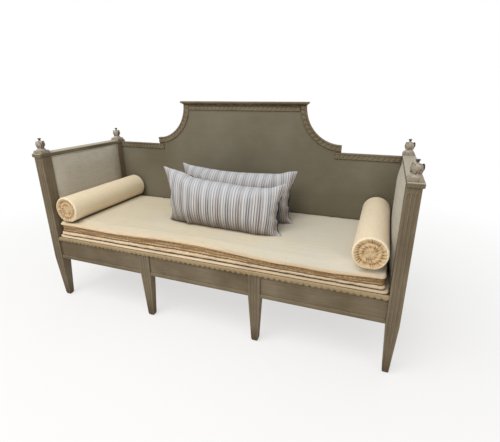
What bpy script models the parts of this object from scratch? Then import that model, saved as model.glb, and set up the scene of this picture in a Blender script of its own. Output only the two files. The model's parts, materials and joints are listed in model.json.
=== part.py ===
"""Painted sofa in the Swedish neoclassical manner, with a panelled back and loose cushions.

Metres, +Z up, +X to the right as seen from the front, -Y to the front.
The origin is on the floor under the middle of the sofa.
"""

from math import cos, pi, radians, sin

import bmesh
import bpy
from mathutils import Matrix, Vector

# Overall sizes
LENGTH = 2.000
DEPTH = 0.693
ARM_HEIGHT = 0.918
GAP = 0.0003

# Corner posts
POST_WIDTH = 0.058
FRONT_POST_DEPTH = 0.062
REAR_POST_DEPTH = 0.078
POST_FOOT_WIDTH = 0.031
POST_FOOT_DEPTH = 0.034
POST_CAP_HEIGHT = 0.028
POST_QUIRK_WIDTH = 0.006
POST_QUIRK_DEPTH = 0.004

# Middle legs
LEG_WIDTH = 0.062
LEG_DEPTH = 0.046
LEG_FOOT_WIDTH = 0.036
LEG_FOOT_DEPTH = 0.030
LEG_PROUD = 0.008
LEG_LAP = 0.014
FOOT_ROUND = 0.018
FOOT_FLAT_SHARE = 0.46
FOOT_SWELL_SHARE = 0.86

# Flutes on the show faces of posts and legs
FLUTE_COUNT = 3
FLUTE_WIDTH = 0.0105
FLUTE_PITCH = 0.0155
FLUTE_DEPTH = 0.0035
FLUTE_STEPS = 4
FLUTE_RUN_OUT = 0.006

# Seat rails and their joints
RAIL_BOTTOM = 0.273
RAIL_HEIGHT = 0.141
RAIL_THICKNESS = 0.028
RAIL_SETBACK = 0.010
TENON_LENGTH = 0.025
TENON_THICKNESS = 0.012
TENON_SHOULDER = 0.020
RAIL_MOULDING_HEIGHT = 0.024
RAIL_MOULDING_PROUD = 0.008
RAIL_BEAD_HEIGHT = 0.022
RAIL_BEAD_PROUD = 0.006

# Arms
ARM_RAIL_THICKNESS = 0.022
ARM_RAIL_OVERHANG = 0.008
ARM_RAIL_ROUND = 0.005
ARM_BOARD_THICKNESS = 0.010
ARM_BOARD_INSET = 0.026
TONGUE = 0.008
ARM_PAD_EDGE = 0.016
ARM_PAD_CROWN = 0.040
ARM_OUTER_PAD_EDGE = 0.007
ARM_OUTER_PAD_CROWN = 0.016
ARM_PAD_SEGMENTS = 10

# Back
BACK_SIDE_DROP = 0.012
BACK_STEP_RISE = 0.043
BACK_STEP_OFFSET = 0.616
SHOULDER_RADIUS = 0.213
SHOULDER_STEPS = 14
PANEL_THICKNESS = 0.014
BATTEN_WIDTH = 0.062
BATTEN_THICKNESS = 0.014
BATTEN_TOP_DROP = 0.030
BACK_MOULDING_WIDTH = 0.036
CREST_MOULDING_WIDTH = 0.031
BACK_MOULDING_PROUD = 0.010
CORNICE_HEIGHT = 0.023
CORNICE_OVERHANG = 0.015
CORNICE_PROJECTION = 0.026

# Finials
PLINTH_WIDTH = 0.060
PLINTH_HEIGHT = 0.010
PLINTH_STEP_WIDTH = 0.054
PLINTH_STEP_HEIGHT = 0.005
FINIAL_TURNED_HEIGHT = 0.068
FINIAL_BULB_RADIUS = 0.025
FINIAL_FOOT_RADIUS = 0.0255
FINIAL_WAIST_RADIUS = 0.0165
FINIAL_NECK_RADIUS = 0.0045
FINIAL_TIP_RADIUS = 0.0095
FINIAL_STEPS = 16
SPIGOT_RADIUS = 0.007
SPIGOT_DEPTH = 0.025

# Seat frame, its supports and its webbing
SEAT_FRAME_HEIGHT = 0.030
SEAT_FRAME_WIDTH = 0.042
SEAT_FRAME_FIT = 0.0008
LEDGE_WIDTH = 0.020
LEDGE_HEIGHT = 0.026
LEDGE_END_GAP = 0.004
CORNER_BLOCK_REACH = 0.080
CORNER_BLOCK_HEIGHT = 0.040
WEBBING_WIDTH = 0.050
WEBBING_THICKNESS = 0.003
WEBBING_LENGTHWISE_COUNT = 4
WEBBING_CROSSWISE_COUNT = 11
WEBBING_EDGE = 0.008

# Deck and mattress
DECK_THICKNESS = 0.018
DECK_ROUND = 0.006
MATTRESS_CROWN = 0.014
MATTRESS_ROLL = 0.0115
MATTRESS_BORDER = 0.034
MATTRESS_FOLD = 0.003
MATTRESS_GROOVE = 0.010
MATTRESS_CORNER = 0.040
MATTRESS_WAIST = 0.004
MATTRESS_END_CLEARANCE = 0.0010
MATTRESS_BACK_CLEARANCE = 0.0015
MATTRESS_CROWN_RUN = 0.070
MATTRESS_BASE_INSET = 0.055
MATTRESS_TUCK = 0.002
MATTRESS_ROLL_STEPS = 5
MATTRESS_CORNER_STEPS = 4
MATTRESS_SIDE_STEPS = 6

# Bolsters
BOLSTER_RADIUS = 0.0775
BOLSTER_SIDE_CLEARANCE = 0.0028
BOLSTER_BACK_CLEARANCE = 0.020
BOLSTER_FRONT_OVERHANG = 0.005
BOLSTER_FLAT = 0.008
BOLSTER_CROWN = 0.002
BOLSTER_END_ROUND = 0.014
BOLSTER_DISH = 0.012
BOLSTER_PUCKER_RADIUS = 0.009
BOLSTER_PLEATS = 16
BOLSTER_PLEAT_DEPTH = 0.0022

# Pillows
PILLOW_WIDTH = 0.745
PILLOW_HEIGHT = 0.320
PILLOW_THICKNESS = 0.170
PILLOW_SIDE_PULL = 0.010
PILLOW_TOP_PULL = 0.016
PILLOW_LEAN = radians(15)
PILLOW_SEGMENTS_X = 18
PILLOW_SEGMENTS_Z = 10
REAR_PILLOW_OFFSET = 0.035
FRONT_PILLOW_OFFSET = 0.022
FRONT_PILLOW_ROLL = radians(2.0)
FRONT_PILLOW_TURN = radians(-1.5)
PILLOW_SETTLE = 0.012
REAR_PILLOW_CLEARANCE = 0.096
PILLOW_SPACING = 0.010

# Levels and faces worked out from the sizes above
RAIL_TOP = RAIL_BOTTOM + RAIL_HEIGHT
POST_TOP = ARM_HEIGHT - ARM_RAIL_THICKNESS - GAP
FRONT = -DEPTH / 2
BACK = DEPTH / 2
RAIL_FACE = FRONT + RAIL_SETBACK
RAIL_INNER = RAIL_FACE + RAIL_THICKNESS
POST_INNER = LENGTH / 2 - POST_WIDTH
POST_CENTRE = LENGTH / 2 - POST_WIDTH / 2
FRONT_POST_REAR = FRONT + FRONT_POST_DEPTH
REAR_POST_FRONT = BACK - REAR_POST_DEPTH
SIDE_RAIL_OUTER = LENGTH / 2 - RAIL_SETBACK
SIDE_RAIL_INNER = SIDE_RAIL_OUTER - RAIL_THICKNESS
LEG_CENTRE = POST_CENTRE / 3
LEG_BLOCK_TOP = RAIL_TOP - RAIL_MOULDING_HEIGHT - GAP
ARM_BOARD_OUTER = LENGTH / 2 - ARM_BOARD_INSET
ARM_BOARD_INNER = ARM_BOARD_OUTER - ARM_BOARD_THICKNESS
PANEL_BACK = BACK - BATTEN_THICKNESS - GAP
PANEL_FACE = PANEL_BACK - PANEL_THICKNESS
PANEL_SIDE_TOP = ARM_HEIGHT - BACK_SIDE_DROP
PANEL_STEP_TOP = PANEL_SIDE_TOP + BACK_STEP_RISE
PANEL_CREST_TOP = PANEL_STEP_TOP + SHOULDER_RADIUS
CREST_HALF = BACK_STEP_OFFSET - SHOULDER_RADIUS
DECK_BOTTOM = RAIL_TOP + GAP
DECK_TOP = DECK_BOTTOM + DECK_THICKNESS
MATTRESS_BOTTOM = DECK_TOP + GAP
MATTRESS_EDGE = 4 * MATTRESS_ROLL + MATTRESS_BORDER
MATTRESS_TOP = MATTRESS_BOTTOM + MATTRESS_EDGE + MATTRESS_CROWN
CUSHION_FLOOR = MATTRESS_TOP + GAP
ARM_CROWN = ARM_BOARD_INNER - GAP - ARM_PAD_CROWN
SEAT_FRAME_TOP = RAIL_TOP - WEBBING_THICKNESS - GAP
SEAT_FRAME_BOTTOM = SEAT_FRAME_TOP - SEAT_FRAME_HEIGHT
SEAT_FRAME_HALF = POST_INNER - SEAT_FRAME_FIT
SEAT_FRAME_FRONT = RAIL_INNER + SEAT_FRAME_FIT
SEAT_FRAME_BACK = -SEAT_FRAME_FRONT

SIDES = (("left", -1), ("right", 1))


def linear(channel):
    """Linear value of one 8-bit sRGB channel."""
    value = channel / 255
    return value / 12.92 if value <= 0.04045 else ((value + 0.055) / 1.055) ** 2.4


def finish(name, rgb, roughness):
    """Principled material with an sRGB colour."""
    material = bpy.data.materials.new(name)
    material.use_nodes = True
    shader = material.node_tree.nodes["Principled BSDF"]
    shader.inputs["Base Color"].default_value = (*(linear(c) for c in rgb), 1)
    shader.inputs["Roughness"].default_value = roughness
    shader.inputs["Metallic"].default_value = 0.0
    return material


def clear_scene():
    for old in list(bpy.data.objects):
        bpy.data.objects.remove(old)


def new_collection(name):
    collection = bpy.data.collections.new(name)
    bpy.context.scene.collection.children.link(collection)
    return collection


clear_scene()
PARTS = new_collection("gustavian_sofa")
CUTTERS = new_collection("cutters")

PAINT = finish("grey_brown_paint", (0x6E, 0x65, 0x50), 0.6)
BARE_WOOD = finish("bare_pine", (0xB0, 0x8F, 0x63), 0.7)
LINEN = finish("natural_linen", (0xD6, 0xC8, 0xAA), 0.9)
ARM_LINEN = finish("grey_linen", (0xA8, 0xA1, 0x8F), 0.9)
STRIPED_CLOTH = finish("striped_cloth", (0xB9, 0xB9, 0xBA), 0.9)
JUTE = finish("jute_webbing", (0x9A, 0x80, 0x58), 0.95)

FRAME = bpy.data.objects.new("sofa_origin", None)
PARTS.objects.link(FRAME)


def place(name, mesh, material, origin=(0, 0, 0), parent=None):
    """Make a piece from a mesh in sofa coordinates, with its origin where asked."""
    origin = Vector(origin)
    mesh.transform(Matrix.Translation(-origin))
    mesh.materials.append(material)
    piece = bpy.data.objects.new(name, mesh)
    parent = parent or FRAME
    piece.parent = parent
    piece["origin"] = origin
    piece.location = origin - Vector(parent.get("origin", (0, 0, 0)))
    PARTS.objects.link(piece)
    return piece


def mesh_from(name, shape, smooth=False):
    """Turn a bmesh into mesh data with its faces outward."""
    bmesh.ops.recalc_face_normals(shape, faces=shape.faces)
    if shape.calc_volume(signed=True) < 0:
        bmesh.ops.reverse_faces(shape, faces=shape.faces)
    mesh = bpy.data.meshes.new(name)
    shape.to_mesh(mesh)
    shape.free()
    if smooth:
        mesh.shade_smooth()
    return mesh


def add_box(shape, corner, opposite):
    """Add a box between two opposite corners to a bmesh."""
    low = Vector(map(min, corner, opposite))
    high = Vector(map(max, corner, opposite))
    matrix = Matrix.Translation((low + high) / 2) @ Matrix.Diagonal((*(high - low), 1))
    bmesh.ops.create_cube(shape, size=1, matrix=matrix)


def box_mesh(name, pairs):
    """Mesh of plain boxes, each between two opposite corners."""
    shape = bmesh.new()
    for corner, opposite in pairs:
        add_box(shape, corner, opposite)
    return mesh_from(name, shape)


def box(name, corner, opposite, material):
    """A piece that is a plain board or bar between two opposite corners."""
    return place(name, box_mesh(name, [(corner, opposite)]), material)


def loft_mesh(name, rings, smooth=False):
    """Skin a row of closed rings of equal point count, with flat caps."""
    shape = bmesh.new()
    rows = [[shape.verts.new(point) for point in ring] for ring in rings]
    for row, following in zip(rows, rows[1:]):
        for i in range(len(row)):
            j = (i + 1) % len(row)
            shape.faces.new((row[i], row[j], following[j], following[i]))
    shape.faces.new(rows[0])
    shape.faces.new(rows[-1])
    return mesh_from(name, shape, smooth)


def round_edges(piece, width, segments):
    bevel = piece.modifiers.new("rounded_edges", "BEVEL")
    bevel.width = width
    bevel.segments = segments
    bevel.limit_method = "ANGLE"


def combine(piece, name, pairs, operation):
    """Cut boxes out of a piece, or join them to it."""
    use_tool(piece, bpy.data.objects.new(name, box_mesh(name, pairs)), operation)


def use_tool(piece, tool, operation):
    """Keep a tool as a hidden wire object and apply it to a piece."""
    CUTTERS.objects.link(tool)
    tool.hide_render = True
    tool.display_type = "WIRE"
    boolean = piece.modifiers.new(tool.name, "BOOLEAN")
    boolean.object = tool
    boolean.operation = operation
    boolean.solver = "EXACT"


def drill(piece, name, x, y, low, high):
    """Drill an upright round hole for a finial spigot."""
    shape = bmesh.new()
    matrix = Matrix.Translation((x, y, (low + high) / 2))
    radius = SPIGOT_RADIUS + GAP
    bmesh.ops.create_cone(shape, cap_ends=True, segments=FINIAL_STEPS, radius1=radius, radius2=radius,
                          depth=high - low, matrix=matrix)
    use_tool(piece, bpy.data.objects.new(name, mesh_from(name, shape)), "DIFFERENCE")


def fluted_edge(start, end, full_length, flute_depth):
    """Points from one section corner towards the next, with flutes cut to the left of the way."""
    way = (end - start).normalized()
    inward = Vector((-way.y, way.x))
    middle = (start + end) / 2
    scale = (end - start).length / full_length
    points = [start]
    for flute in range(FLUTE_COUNT):
        centre = middle + way * (flute - (FLUTE_COUNT - 1) / 2) * FLUTE_PITCH * scale
        for step in range(FLUTE_STEPS + 1):
            angle = pi * step / FLUTE_STEPS
            points.append(centre - way * cos(angle) * FLUTE_WIDTH / 2 * scale
                          + inward * sin(angle) * flute_depth * scale)
    return points


def section(centre, width, depth, full_width, full_depth, z, flutes, flute_depth):
    """Ring of a post or leg at one level, anticlockwise from its front left corner.

    flutes names the faces that are fluted, by their place in the order front, right, back, left.
    """
    half_x, half_y = width / 2, depth / 2
    corners = [Vector((-half_x, -half_y)), Vector((half_x, -half_y)),
               Vector((half_x, half_y)), Vector((-half_x, half_y))]
    ring = []
    for face in range(4):
        start, end = corners[face], corners[(face + 1) % 4]
        if face in flutes:
            ring += fluted_edge(start, end, (full_width, full_depth)[face % 2], flute_depth)
        else:
            ring.append(start)
    return [(centre.x + p.x, centre.y + p.y, z) for p in ring]


def tapered_post(name, centre, full, foot, top, flutes, flute_top):
    """Square post that tapers from the rail's underside to a blunt foot."""
    rings = []
    levels = ((0, FOOT_FLAT_SHARE, 0), (FOOT_ROUND / 3, FOOT_SWELL_SHARE, 1), (FOOT_ROUND, 1, 1))
    for z, share, fluted in levels:
        size = (foot[0] * share, foot[1] * share)
        rings.append(section(centre, *size, *full, z, flutes, FLUTE_DEPTH * fluted))
    rings.append(section(centre, *full, *full, RAIL_BOTTOM - GAP, flutes, FLUTE_DEPTH))
    if flute_top < top:
        rings.append(section(centre, *full, *full, flute_top, flutes, FLUTE_DEPTH))
        rings.append(section(centre, *full, *full, flute_top + FLUTE_RUN_OUT, flutes, 0))
    rings.append(section(centre, *full, *full, top, flutes, 0 if flute_top < top else FLUTE_DEPTH))
    return place(name, loft_mesh(name, rings), PAINT)


def rail_mortises(side):
    """Pockets in the posts of one end for the tenons of the long rails and of the side rail."""
    low, high = RAIL_BOTTOM + TENON_SHOULDER - GAP, RAIL_TOP - TENON_SHOULDER + GAP
    half = TENON_THICKNESS / 2 + GAP
    reach = TENON_LENGTH + GAP
    pockets = {}
    for end, sign, face in (("front", 1, FRONT_POST_REAR), ("rear", -1, REAR_POST_FRONT)):
        rail_y = sign * (RAIL_FACE + RAIL_INNER) / 2
        rail_x = side * (SIDE_RAIL_INNER + SIDE_RAIL_OUTER) / 2
        long_rail = ((side * (POST_INNER - GAP), rail_y - half, low),
                     (side * (POST_INNER + reach), rail_y + half, high))
        side_rail = ((rail_x - half, face + sign * GAP, low), (rail_x + half, face - sign * reach, high))
        pockets[end] = [long_rail, side_rail]
    return pockets


def arm_groove(side, face, into):
    """Groove in a post for one edge of the arm board."""
    return ((side * (ARM_BOARD_INNER - GAP), face - into * GAP, RAIL_TOP - GAP),
            (side * (ARM_BOARD_OUTER + GAP), face + into * (TONGUE + GAP), POST_TOP + GAP))


def panel_groove(side):
    """Groove in a rear post for one edge of the back panel."""
    return ((side * (POST_INNER - GAP), PANEL_FACE - GAP, RAIL_TOP - GAP),
            (side * (POST_INNER + TONGUE + GAP), PANEL_BACK + GAP, POST_TOP + GAP))


def post_quirk(side):
    """Groove on a rear post's inner face, midway between the arm pad and the back panel."""
    middle = (REAR_POST_FRONT + PANEL_FACE) / 2
    return ((side * (POST_INNER - GAP), middle - POST_QUIRK_WIDTH / 2, DECK_TOP),
            (side * (POST_INNER + POST_QUIRK_DEPTH), middle + POST_QUIRK_WIDTH / 2, POST_TOP + GAP))


def finial_places(side):
    """Centres of the two finials of one arm, front first."""
    x = side * POST_CENTRE
    return (x, (FRONT + FRONT_POST_REAR) / 2), (x, (REAR_POST_FRONT + BACK) / 2)


def make_posts():
    foot = (POST_FOOT_WIDTH, POST_FOOT_DEPTH)
    spigot_low = ARM_HEIGHT - ARM_RAIL_THICKNESS - SPIGOT_DEPTH - GAP
    for label, side in SIDES:
        pockets = rail_mortises(side)
        outer_face = 1 if side > 0 else 3
        (front_x, front_y), (rear_x, rear_y) = finial_places(side)
        name = label + "_front_post"
        full = (POST_WIDTH, FRONT_POST_DEPTH)
        post = tapered_post(name, Vector((front_x, front_y)), full, foot, POST_TOP, (0, outer_face),
                            POST_TOP - POST_CAP_HEIGHT)
        combine(post, name + "_pockets", pockets["front"], "DIFFERENCE")
        combine(post, name + "_groove", [arm_groove(side, FRONT_POST_REAR, -1)], "DIFFERENCE")
        drill(post, name + "_spigot_hole", front_x, front_y, spigot_low, ARM_HEIGHT)
        name = label + "_rear_post"
        full = (POST_WIDTH, REAR_POST_DEPTH)
        post = tapered_post(name, Vector((rear_x, rear_y)), full, foot, POST_TOP, (), POST_TOP)
        combine(post, name + "_pockets", pockets["rear"], "DIFFERENCE")
        combine(post, name + "_groove", [arm_groove(side, REAR_POST_FRONT, 1)], "DIFFERENCE")
        combine(post, name + "_panel_groove", [panel_groove(side)], "DIFFERENCE")
        combine(post, name + "_quirk", [post_quirk(side)], "DIFFERENCE")
        drill(post, name + "_spigot_hole", rear_x, rear_y, spigot_low, ARM_HEIGHT)


def make_middle_legs():
    """Four legs whose upper part is let into the outer face of a long rail."""
    for label, side in SIDES:
        for end, sign, flutes in (("front", 1, (0,)), ("rear", -1, ())):
            name = label + "_" + end + "_leg"
            outer = sign * (RAIL_FACE - LEG_PROUD)
            centre = Vector((side * LEG_CENTRE, outer + sign * LEG_DEPTH / 2))
            leg = tapered_post(name, centre, (LEG_WIDTH, LEG_DEPTH), (LEG_FOOT_WIDTH, LEG_FOOT_DEPTH),
                               LEG_BLOCK_TOP, flutes, LEG_BLOCK_TOP)
            lap_face = sign * (RAIL_FACE + LEG_LAP)
            reach = Vector((LEG_WIDTH, LEG_DEPTH))
            waste = ((centre.x - reach.x, lap_face, RAIL_BOTTOM - GAP),
                     (centre.x + reach.x, lap_face + sign * reach.y, RAIL_TOP))
            combine(leg, name + "_lap", [waste], "DIFFERENCE")


def make_long_rails():
    """Front and rear seat rails with a tenon at each end and a notch for each middle leg."""
    bar_half = TENON_THICKNESS / 2
    tenon_end = POST_INNER + TENON_LENGTH
    for end, sign in (("front", 1), ("rear", -1)):
        name = end + "_seat_rail"
        middle = sign * (RAIL_FACE + RAIL_INNER) / 2
        half = POST_INNER - GAP
        rail = box(name, (-half, sign * RAIL_FACE, RAIL_BOTTOM), (half, sign * RAIL_INNER, RAIL_TOP), PAINT)
        bar = ((-tenon_end, middle - bar_half, RAIL_BOTTOM + TENON_SHOULDER),
               (tenon_end, middle + bar_half, RAIL_TOP - TENON_SHOULDER))
        combine(rail, name + "_tenons", [bar], "UNION")
        notches = []
        for _, side in SIDES:
            reach = LEG_WIDTH / 2 + GAP
            x = side * LEG_CENTRE
            notches.append(((x - reach, sign * (RAIL_FACE - LEG_LAP), RAIL_BOTTOM - LEG_LAP),
                            (x + reach, sign * (RAIL_FACE + LEG_LAP + GAP), LEG_BLOCK_TOP + GAP)))
        combine(rail, name + "_leg_notches", notches, "DIFFERENCE")


def make_side_rails():
    for label, side in SIDES:
        name = label + "_seat_rail"
        front, back = FRONT_POST_REAR + GAP, REAR_POST_FRONT - GAP
        inner, outer = side * SIDE_RAIL_INNER, side * SIDE_RAIL_OUTER
        rail = box(name, (inner, front, RAIL_BOTTOM), (outer, back, RAIL_TOP), PAINT)
        middle = side * (SIDE_RAIL_INNER + SIDE_RAIL_OUTER) / 2
        bar = ((middle - TENON_THICKNESS / 2, FRONT_POST_REAR - TENON_LENGTH, RAIL_BOTTOM + TENON_SHOULDER),
               (middle + TENON_THICKNESS / 2, REAR_POST_FRONT + TENON_LENGTH, RAIL_TOP - TENON_SHOULDER))
        combine(rail, name + "_tenons", [bar], "UNION")


def strip_profile(height, proud, bottom):
    """Rounded strip section as (distance in front of the rail, level), from the bottom up."""
    steps = 6
    points = [(GAP, bottom)]
    for step in range(steps + 1):
        angle = pi * step / steps
        points.append((GAP + proud * (0.35 + 0.65 * sin(angle)), bottom + height * (1 - cos(angle)) / 2))
    points.append((GAP, bottom + height))
    return points


def leaf_moulding_profile(height, proud, bottom):
    """Sloping section for the carved strip, proudest near its foot, as strip_profile gives it."""
    shares = ((0.55, 0.0), (0.9, 0.10), (1.0, 0.24), (0.94, 0.42), (0.72, 0.66), (0.45, 0.88), (0.35, 1.0))
    points = [(GAP + proud * out, bottom + height * up) for out, up in shares]
    return [(GAP, bottom)] + points + [(GAP, bottom + height)]


def place_rail_strip(name, profile, start, end):
    """Length of a strip along the front rail's face."""
    rings = [[(x, RAIL_FACE - out, z) for out, z in profile] for x in (start, end)]
    place(name, loft_mesh(name, rings), PAINT)


def make_rail_mouldings():
    half = POST_INNER - GAP
    leaves = leaf_moulding_profile(RAIL_MOULDING_HEIGHT, RAIL_MOULDING_PROUD, RAIL_TOP - RAIL_MOULDING_HEIGHT)
    place_rail_strip("front_rail_moulding", leaves, -half, half)
    bead = strip_profile(RAIL_BEAD_HEIGHT, RAIL_BEAD_PROUD, RAIL_BOTTOM)
    leg_out, leg_in = LEG_CENTRE + LEG_WIDTH / 2 + GAP, LEG_CENTRE - LEG_WIDTH / 2 - GAP
    spans = {"left": (-half, -leg_out), "middle": (-leg_in, leg_in), "right": (leg_out, half)}
    for label, span in spans.items():
        place_rail_strip(label + "_rail_bead", bead, *span)


def make_arm_rails():
    """Boards that cap the posts, each with two holes for the finial spigots."""
    for label, side in SIDES:
        name = label + "_arm_rail"
        inner = (side * POST_INNER, FRONT - ARM_RAIL_OVERHANG, ARM_HEIGHT - ARM_RAIL_THICKNESS)
        outer = (side * (LENGTH / 2 + ARM_RAIL_OVERHANG), BACK + ARM_RAIL_OVERHANG, ARM_HEIGHT)
        rail = box(name, inner, outer, PAINT)
        round_edges(rail, ARM_RAIL_ROUND, 3)
        for end, (x, y) in zip(("front", "rear"), finial_places(side)):
            drill(rail, name + "_" + end + "_hole", x, y, ARM_HEIGHT - 2 * ARM_RAIL_THICKNESS,
                  ARM_HEIGHT + ARM_RAIL_THICKNESS)


def make_arm_boards():
    for label, side in SIDES:
        box(label + "_arm_board", (side * ARM_BOARD_INNER, FRONT_POST_REAR - TONGUE, RAIL_TOP + GAP),
            (side * ARM_BOARD_OUTER, REAR_POST_FRONT + TONGUE, POST_TOP), BARE_WOOD)


def stuffed_panel(name, back, outward, edge, crown, low, high):
    """Stuffed pad on an arm board: flat behind, swelling from its tacked edges to a crown.

    back is the flat side's X and outward is the way the pad swells along X.
    low and high are the (Y, Z) corners.
    """
    shape = bmesh.new()
    bmesh.ops.create_grid(shape, x_segments=ARM_PAD_SEGMENTS, y_segments=ARM_PAD_SEGMENTS, size=1)
    walls = bmesh.ops.extrude_face_region(shape, geom=shape.faces[:])
    face = {item for item in walls["geom"] if isinstance(item, bmesh.types.BMVert)}
    for vert in shape.verts:
        u, v = vert.co.x, vert.co.y
        swell = edge + (crown - edge) * (max(0, 1 - u ** 4) * max(0, 1 - v ** 4)) ** 0.5
        y = low[0] + (high[0] - low[0]) * (u + 1) / 2
        z = low[1] + (high[1] - low[1]) * (v + 1) / 2
        vert.co = (back + outward * (swell if vert in face else 0), y, z)
    return place(name, mesh_from(name, shape, smooth=True), ARM_LINEN)


def make_arm_pads():
    front, back = FRONT_POST_REAR + GAP, REAR_POST_FRONT - GAP
    for label, side in SIDES:
        stuffed_panel(label + "_arm_inner_pad", side * (ARM_BOARD_INNER - GAP), -side,
                      ARM_PAD_EDGE, ARM_PAD_CROWN, (front, DECK_TOP + GAP), (back, POST_TOP))
        stuffed_panel(label + "_arm_outer_pad", side * (ARM_BOARD_OUTER + GAP), side,
                      ARM_OUTER_PAD_EDGE, ARM_OUTER_PAD_CROWN, (front, RAIL_TOP + GAP), (back, POST_TOP))


def shoulder_directions():
    """Directions from a right-hand shoulder's centre to its edge, from the step up to the crest."""
    angles = [pi / 2 * step / SHOULDER_STEPS for step in range(SHOULDER_STEPS + 1)]
    return [Vector((-sin(angle), -cos(angle))) for angle in angles]


def panel_outline():
    """Right half of the back panel's outline from the foot to the crest, as (X, Z)."""
    tongue = POST_INNER + TONGUE
    inner = POST_INNER - GAP
    points = [Vector((tongue, RAIL_TOP + GAP)), Vector((tongue, POST_TOP)), Vector((inner, POST_TOP)),
              Vector((inner, PANEL_SIDE_TOP)), Vector((BACK_STEP_OFFSET, PANEL_SIDE_TOP))]
    centre = Vector((BACK_STEP_OFFSET, PANEL_CREST_TOP))
    return points + [centre + way * SHOULDER_RADIUS for way in shoulder_directions()]


def make_back_panel():
    right = panel_outline()
    outline = right + [Vector((-p.x, p.y)) for p in reversed(right)]
    rings = [[(p.x, y, p.y) for p in outline] for y in (PANEL_FACE, PANEL_BACK)]
    place("back_panel", loft_mesh("back_panel", rings), PAINT)


def moulding_profile(width):
    """Section of the back's mouldings as (distance in from the edge, height off the panel)."""
    fillet = BACK_MOULDING_PROUD
    bed = BACK_MOULDING_PROUD * 0.55
    return [(0, 0), (0, fillet), (width * 0.22, fillet), (width * 0.32, bed), (width * 0.74, bed),
            (width * 0.84, fillet * 0.75), (width * 0.95, fillet * 0.6), (width, fillet * 0.2), (width, 0)]


def moulding(name, stations, width):
    """Sweep the moulding's section along (edge point, inward direction) stations on the panel's face."""
    face = PANEL_FACE - GAP
    rings = []
    for point, inward in stations:
        rings.append([(point.x + inward.x * t, face - out, point.y + inward.y * t)
                      for t, out in moulding_profile(width)])
    return place(name, loft_mesh(name, rings), PAINT)


def make_back_mouldings():
    down = Vector((0, -1))
    crest = CREST_HALF - BACK_MOULDING_WIDTH - GAP
    ends = [(Vector((x, PANEL_CREST_TOP)), down) for x in (-crest, crest)]
    moulding("crest_moulding", ends, CREST_MOULDING_WIDTH)
    centre = Vector((BACK_STEP_OFFSET, PANEL_CREST_TOP))
    for label, side in SIDES:
        flip = Vector((side, 1))
        arc = [((centre + way * SHOULDER_RADIUS) * flip, way * flip) for way in shoulder_directions()]
        moulding(label + "_shoulder_moulding", arc, BACK_MOULDING_WIDTH)
        spans = (BACK_STEP_OFFSET + GAP - BACK_MOULDING_WIDTH, POST_INNER - GAP)
        ends = [(Vector((side * x, PANEL_SIDE_TOP)), down) for x in spans]
        moulding(label + "_side_moulding", ends, BACK_MOULDING_WIDTH)


def make_cornice():
    """Moulded crest strip: each level is a rectangle, so the ends are mitred returns."""
    levels = ((0.00, 0.00, 0.40), (0.22, 0.10, 0.50), (0.40, 0.45, 0.72), (0.58, 0.90, 0.96),
              (0.70, 1.00, 1.00), (0.92, 1.00, 1.00), (1.00, 0.85, 0.93))
    rings = []
    for height, overhang, projection in levels:
        half = CREST_HALF + CORNICE_OVERHANG * overhang
        front = PANEL_FACE - CORNICE_PROJECTION * projection
        z = PANEL_CREST_TOP + GAP + (CORNICE_HEIGHT - GAP) * height
        rings.append([(-half, front, z), (half, front, z), (half, PANEL_BACK, z), (-half, PANEL_BACK, z)])
    place("crest_cornice", loft_mesh("crest_cornice", rings), PAINT)


def make_battens():
    for label, side in SIDES:
        x = side * LEG_CENTRE
        box(label + "_back_batten", (x - BATTEN_WIDTH / 2, PANEL_BACK + GAP, RAIL_TOP + GAP),
            (x + BATTEN_WIDTH / 2, BACK, PANEL_CREST_TOP - BATTEN_TOP_DROP), BARE_WOOD)


def finial_profile():
    """Turned outline of a finial and its spigot, as (radius, level above the arm), from the tip down.

    A flared tip stands on a bud, and the bud on a bell-shaped foot.
    """
    base = PLINTH_HEIGHT + PLINTH_STEP_HEIGHT
    turned = FINIAL_TURNED_HEIGHT
    bud = base + turned * 0.49
    socket = base - PLINTH_STEP_HEIGHT / 2
    end = GAP - ARM_RAIL_THICKNESS - SPIGOT_DEPTH
    points = [(0, base + turned), (FINIAL_TIP_RADIUS, base + turned * 0.985),
              (FINIAL_NECK_RADIUS, base + turned * 0.81), (FINIAL_NECK_RADIUS * 1.8, base + turned * 0.77)]
    for step in range(1, 6):
        angle = pi * step / 6
        points.append((FINIAL_BULB_RADIUS * sin(angle) ** 0.7, bud + turned * 0.28 * cos(angle)))
    bell = (FINIAL_WAIST_RADIUS + FINIAL_FOOT_RADIUS) / 2
    points += [(FINIAL_WAIST_RADIUS, base + turned * 0.20), (bell, base + turned * 0.11),
               (FINIAL_FOOT_RADIUS, base + turned * 0.03), (FINIAL_FOOT_RADIUS, socket),
               (SPIGOT_RADIUS, socket), (SPIGOT_RADIUS, end), (0, end)]
    return points


def make_finial(name, x, y):
    profile = bpy.data.meshes.new(name)
    points = [(radius, 0, level) for radius, level in finial_profile()]
    profile.from_pydata(points, [(i, i + 1) for i in range(len(points) - 1)], [])
    profile.materials.append(PAINT)
    finial = bpy.data.objects.new(name, profile)
    finial.parent = FRAME
    finial.location = (x, y, ARM_HEIGHT)
    PARTS.objects.link(finial)
    turn = finial.modifiers.new("turned", "SCREW")
    turn.steps = turn.render_steps = FINIAL_STEPS
    turn.use_merge_vertices = True
    turn.merge_threshold = 0.0001
    top = ARM_HEIGHT + GAP + PLINTH_HEIGHT
    tiers = (("_plinth", PLINTH_WIDTH / 2, ARM_HEIGHT + GAP, top),
             ("_plinth_step", PLINTH_STEP_WIDTH / 2, top - PLINTH_HEIGHT / 2, top + PLINTH_STEP_HEIGHT))
    for suffix, half, low, high in tiers:
        combine(finial, name + suffix, [((x - half, y - half, low), (x + half, y + half, high))], "UNION")


def make_finials():
    for label, side in SIDES:
        for end, (x, y) in zip(("front", "rear"), finial_places(side)):
            make_finial(label + "_" + end + "_finial", x, y)


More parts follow.
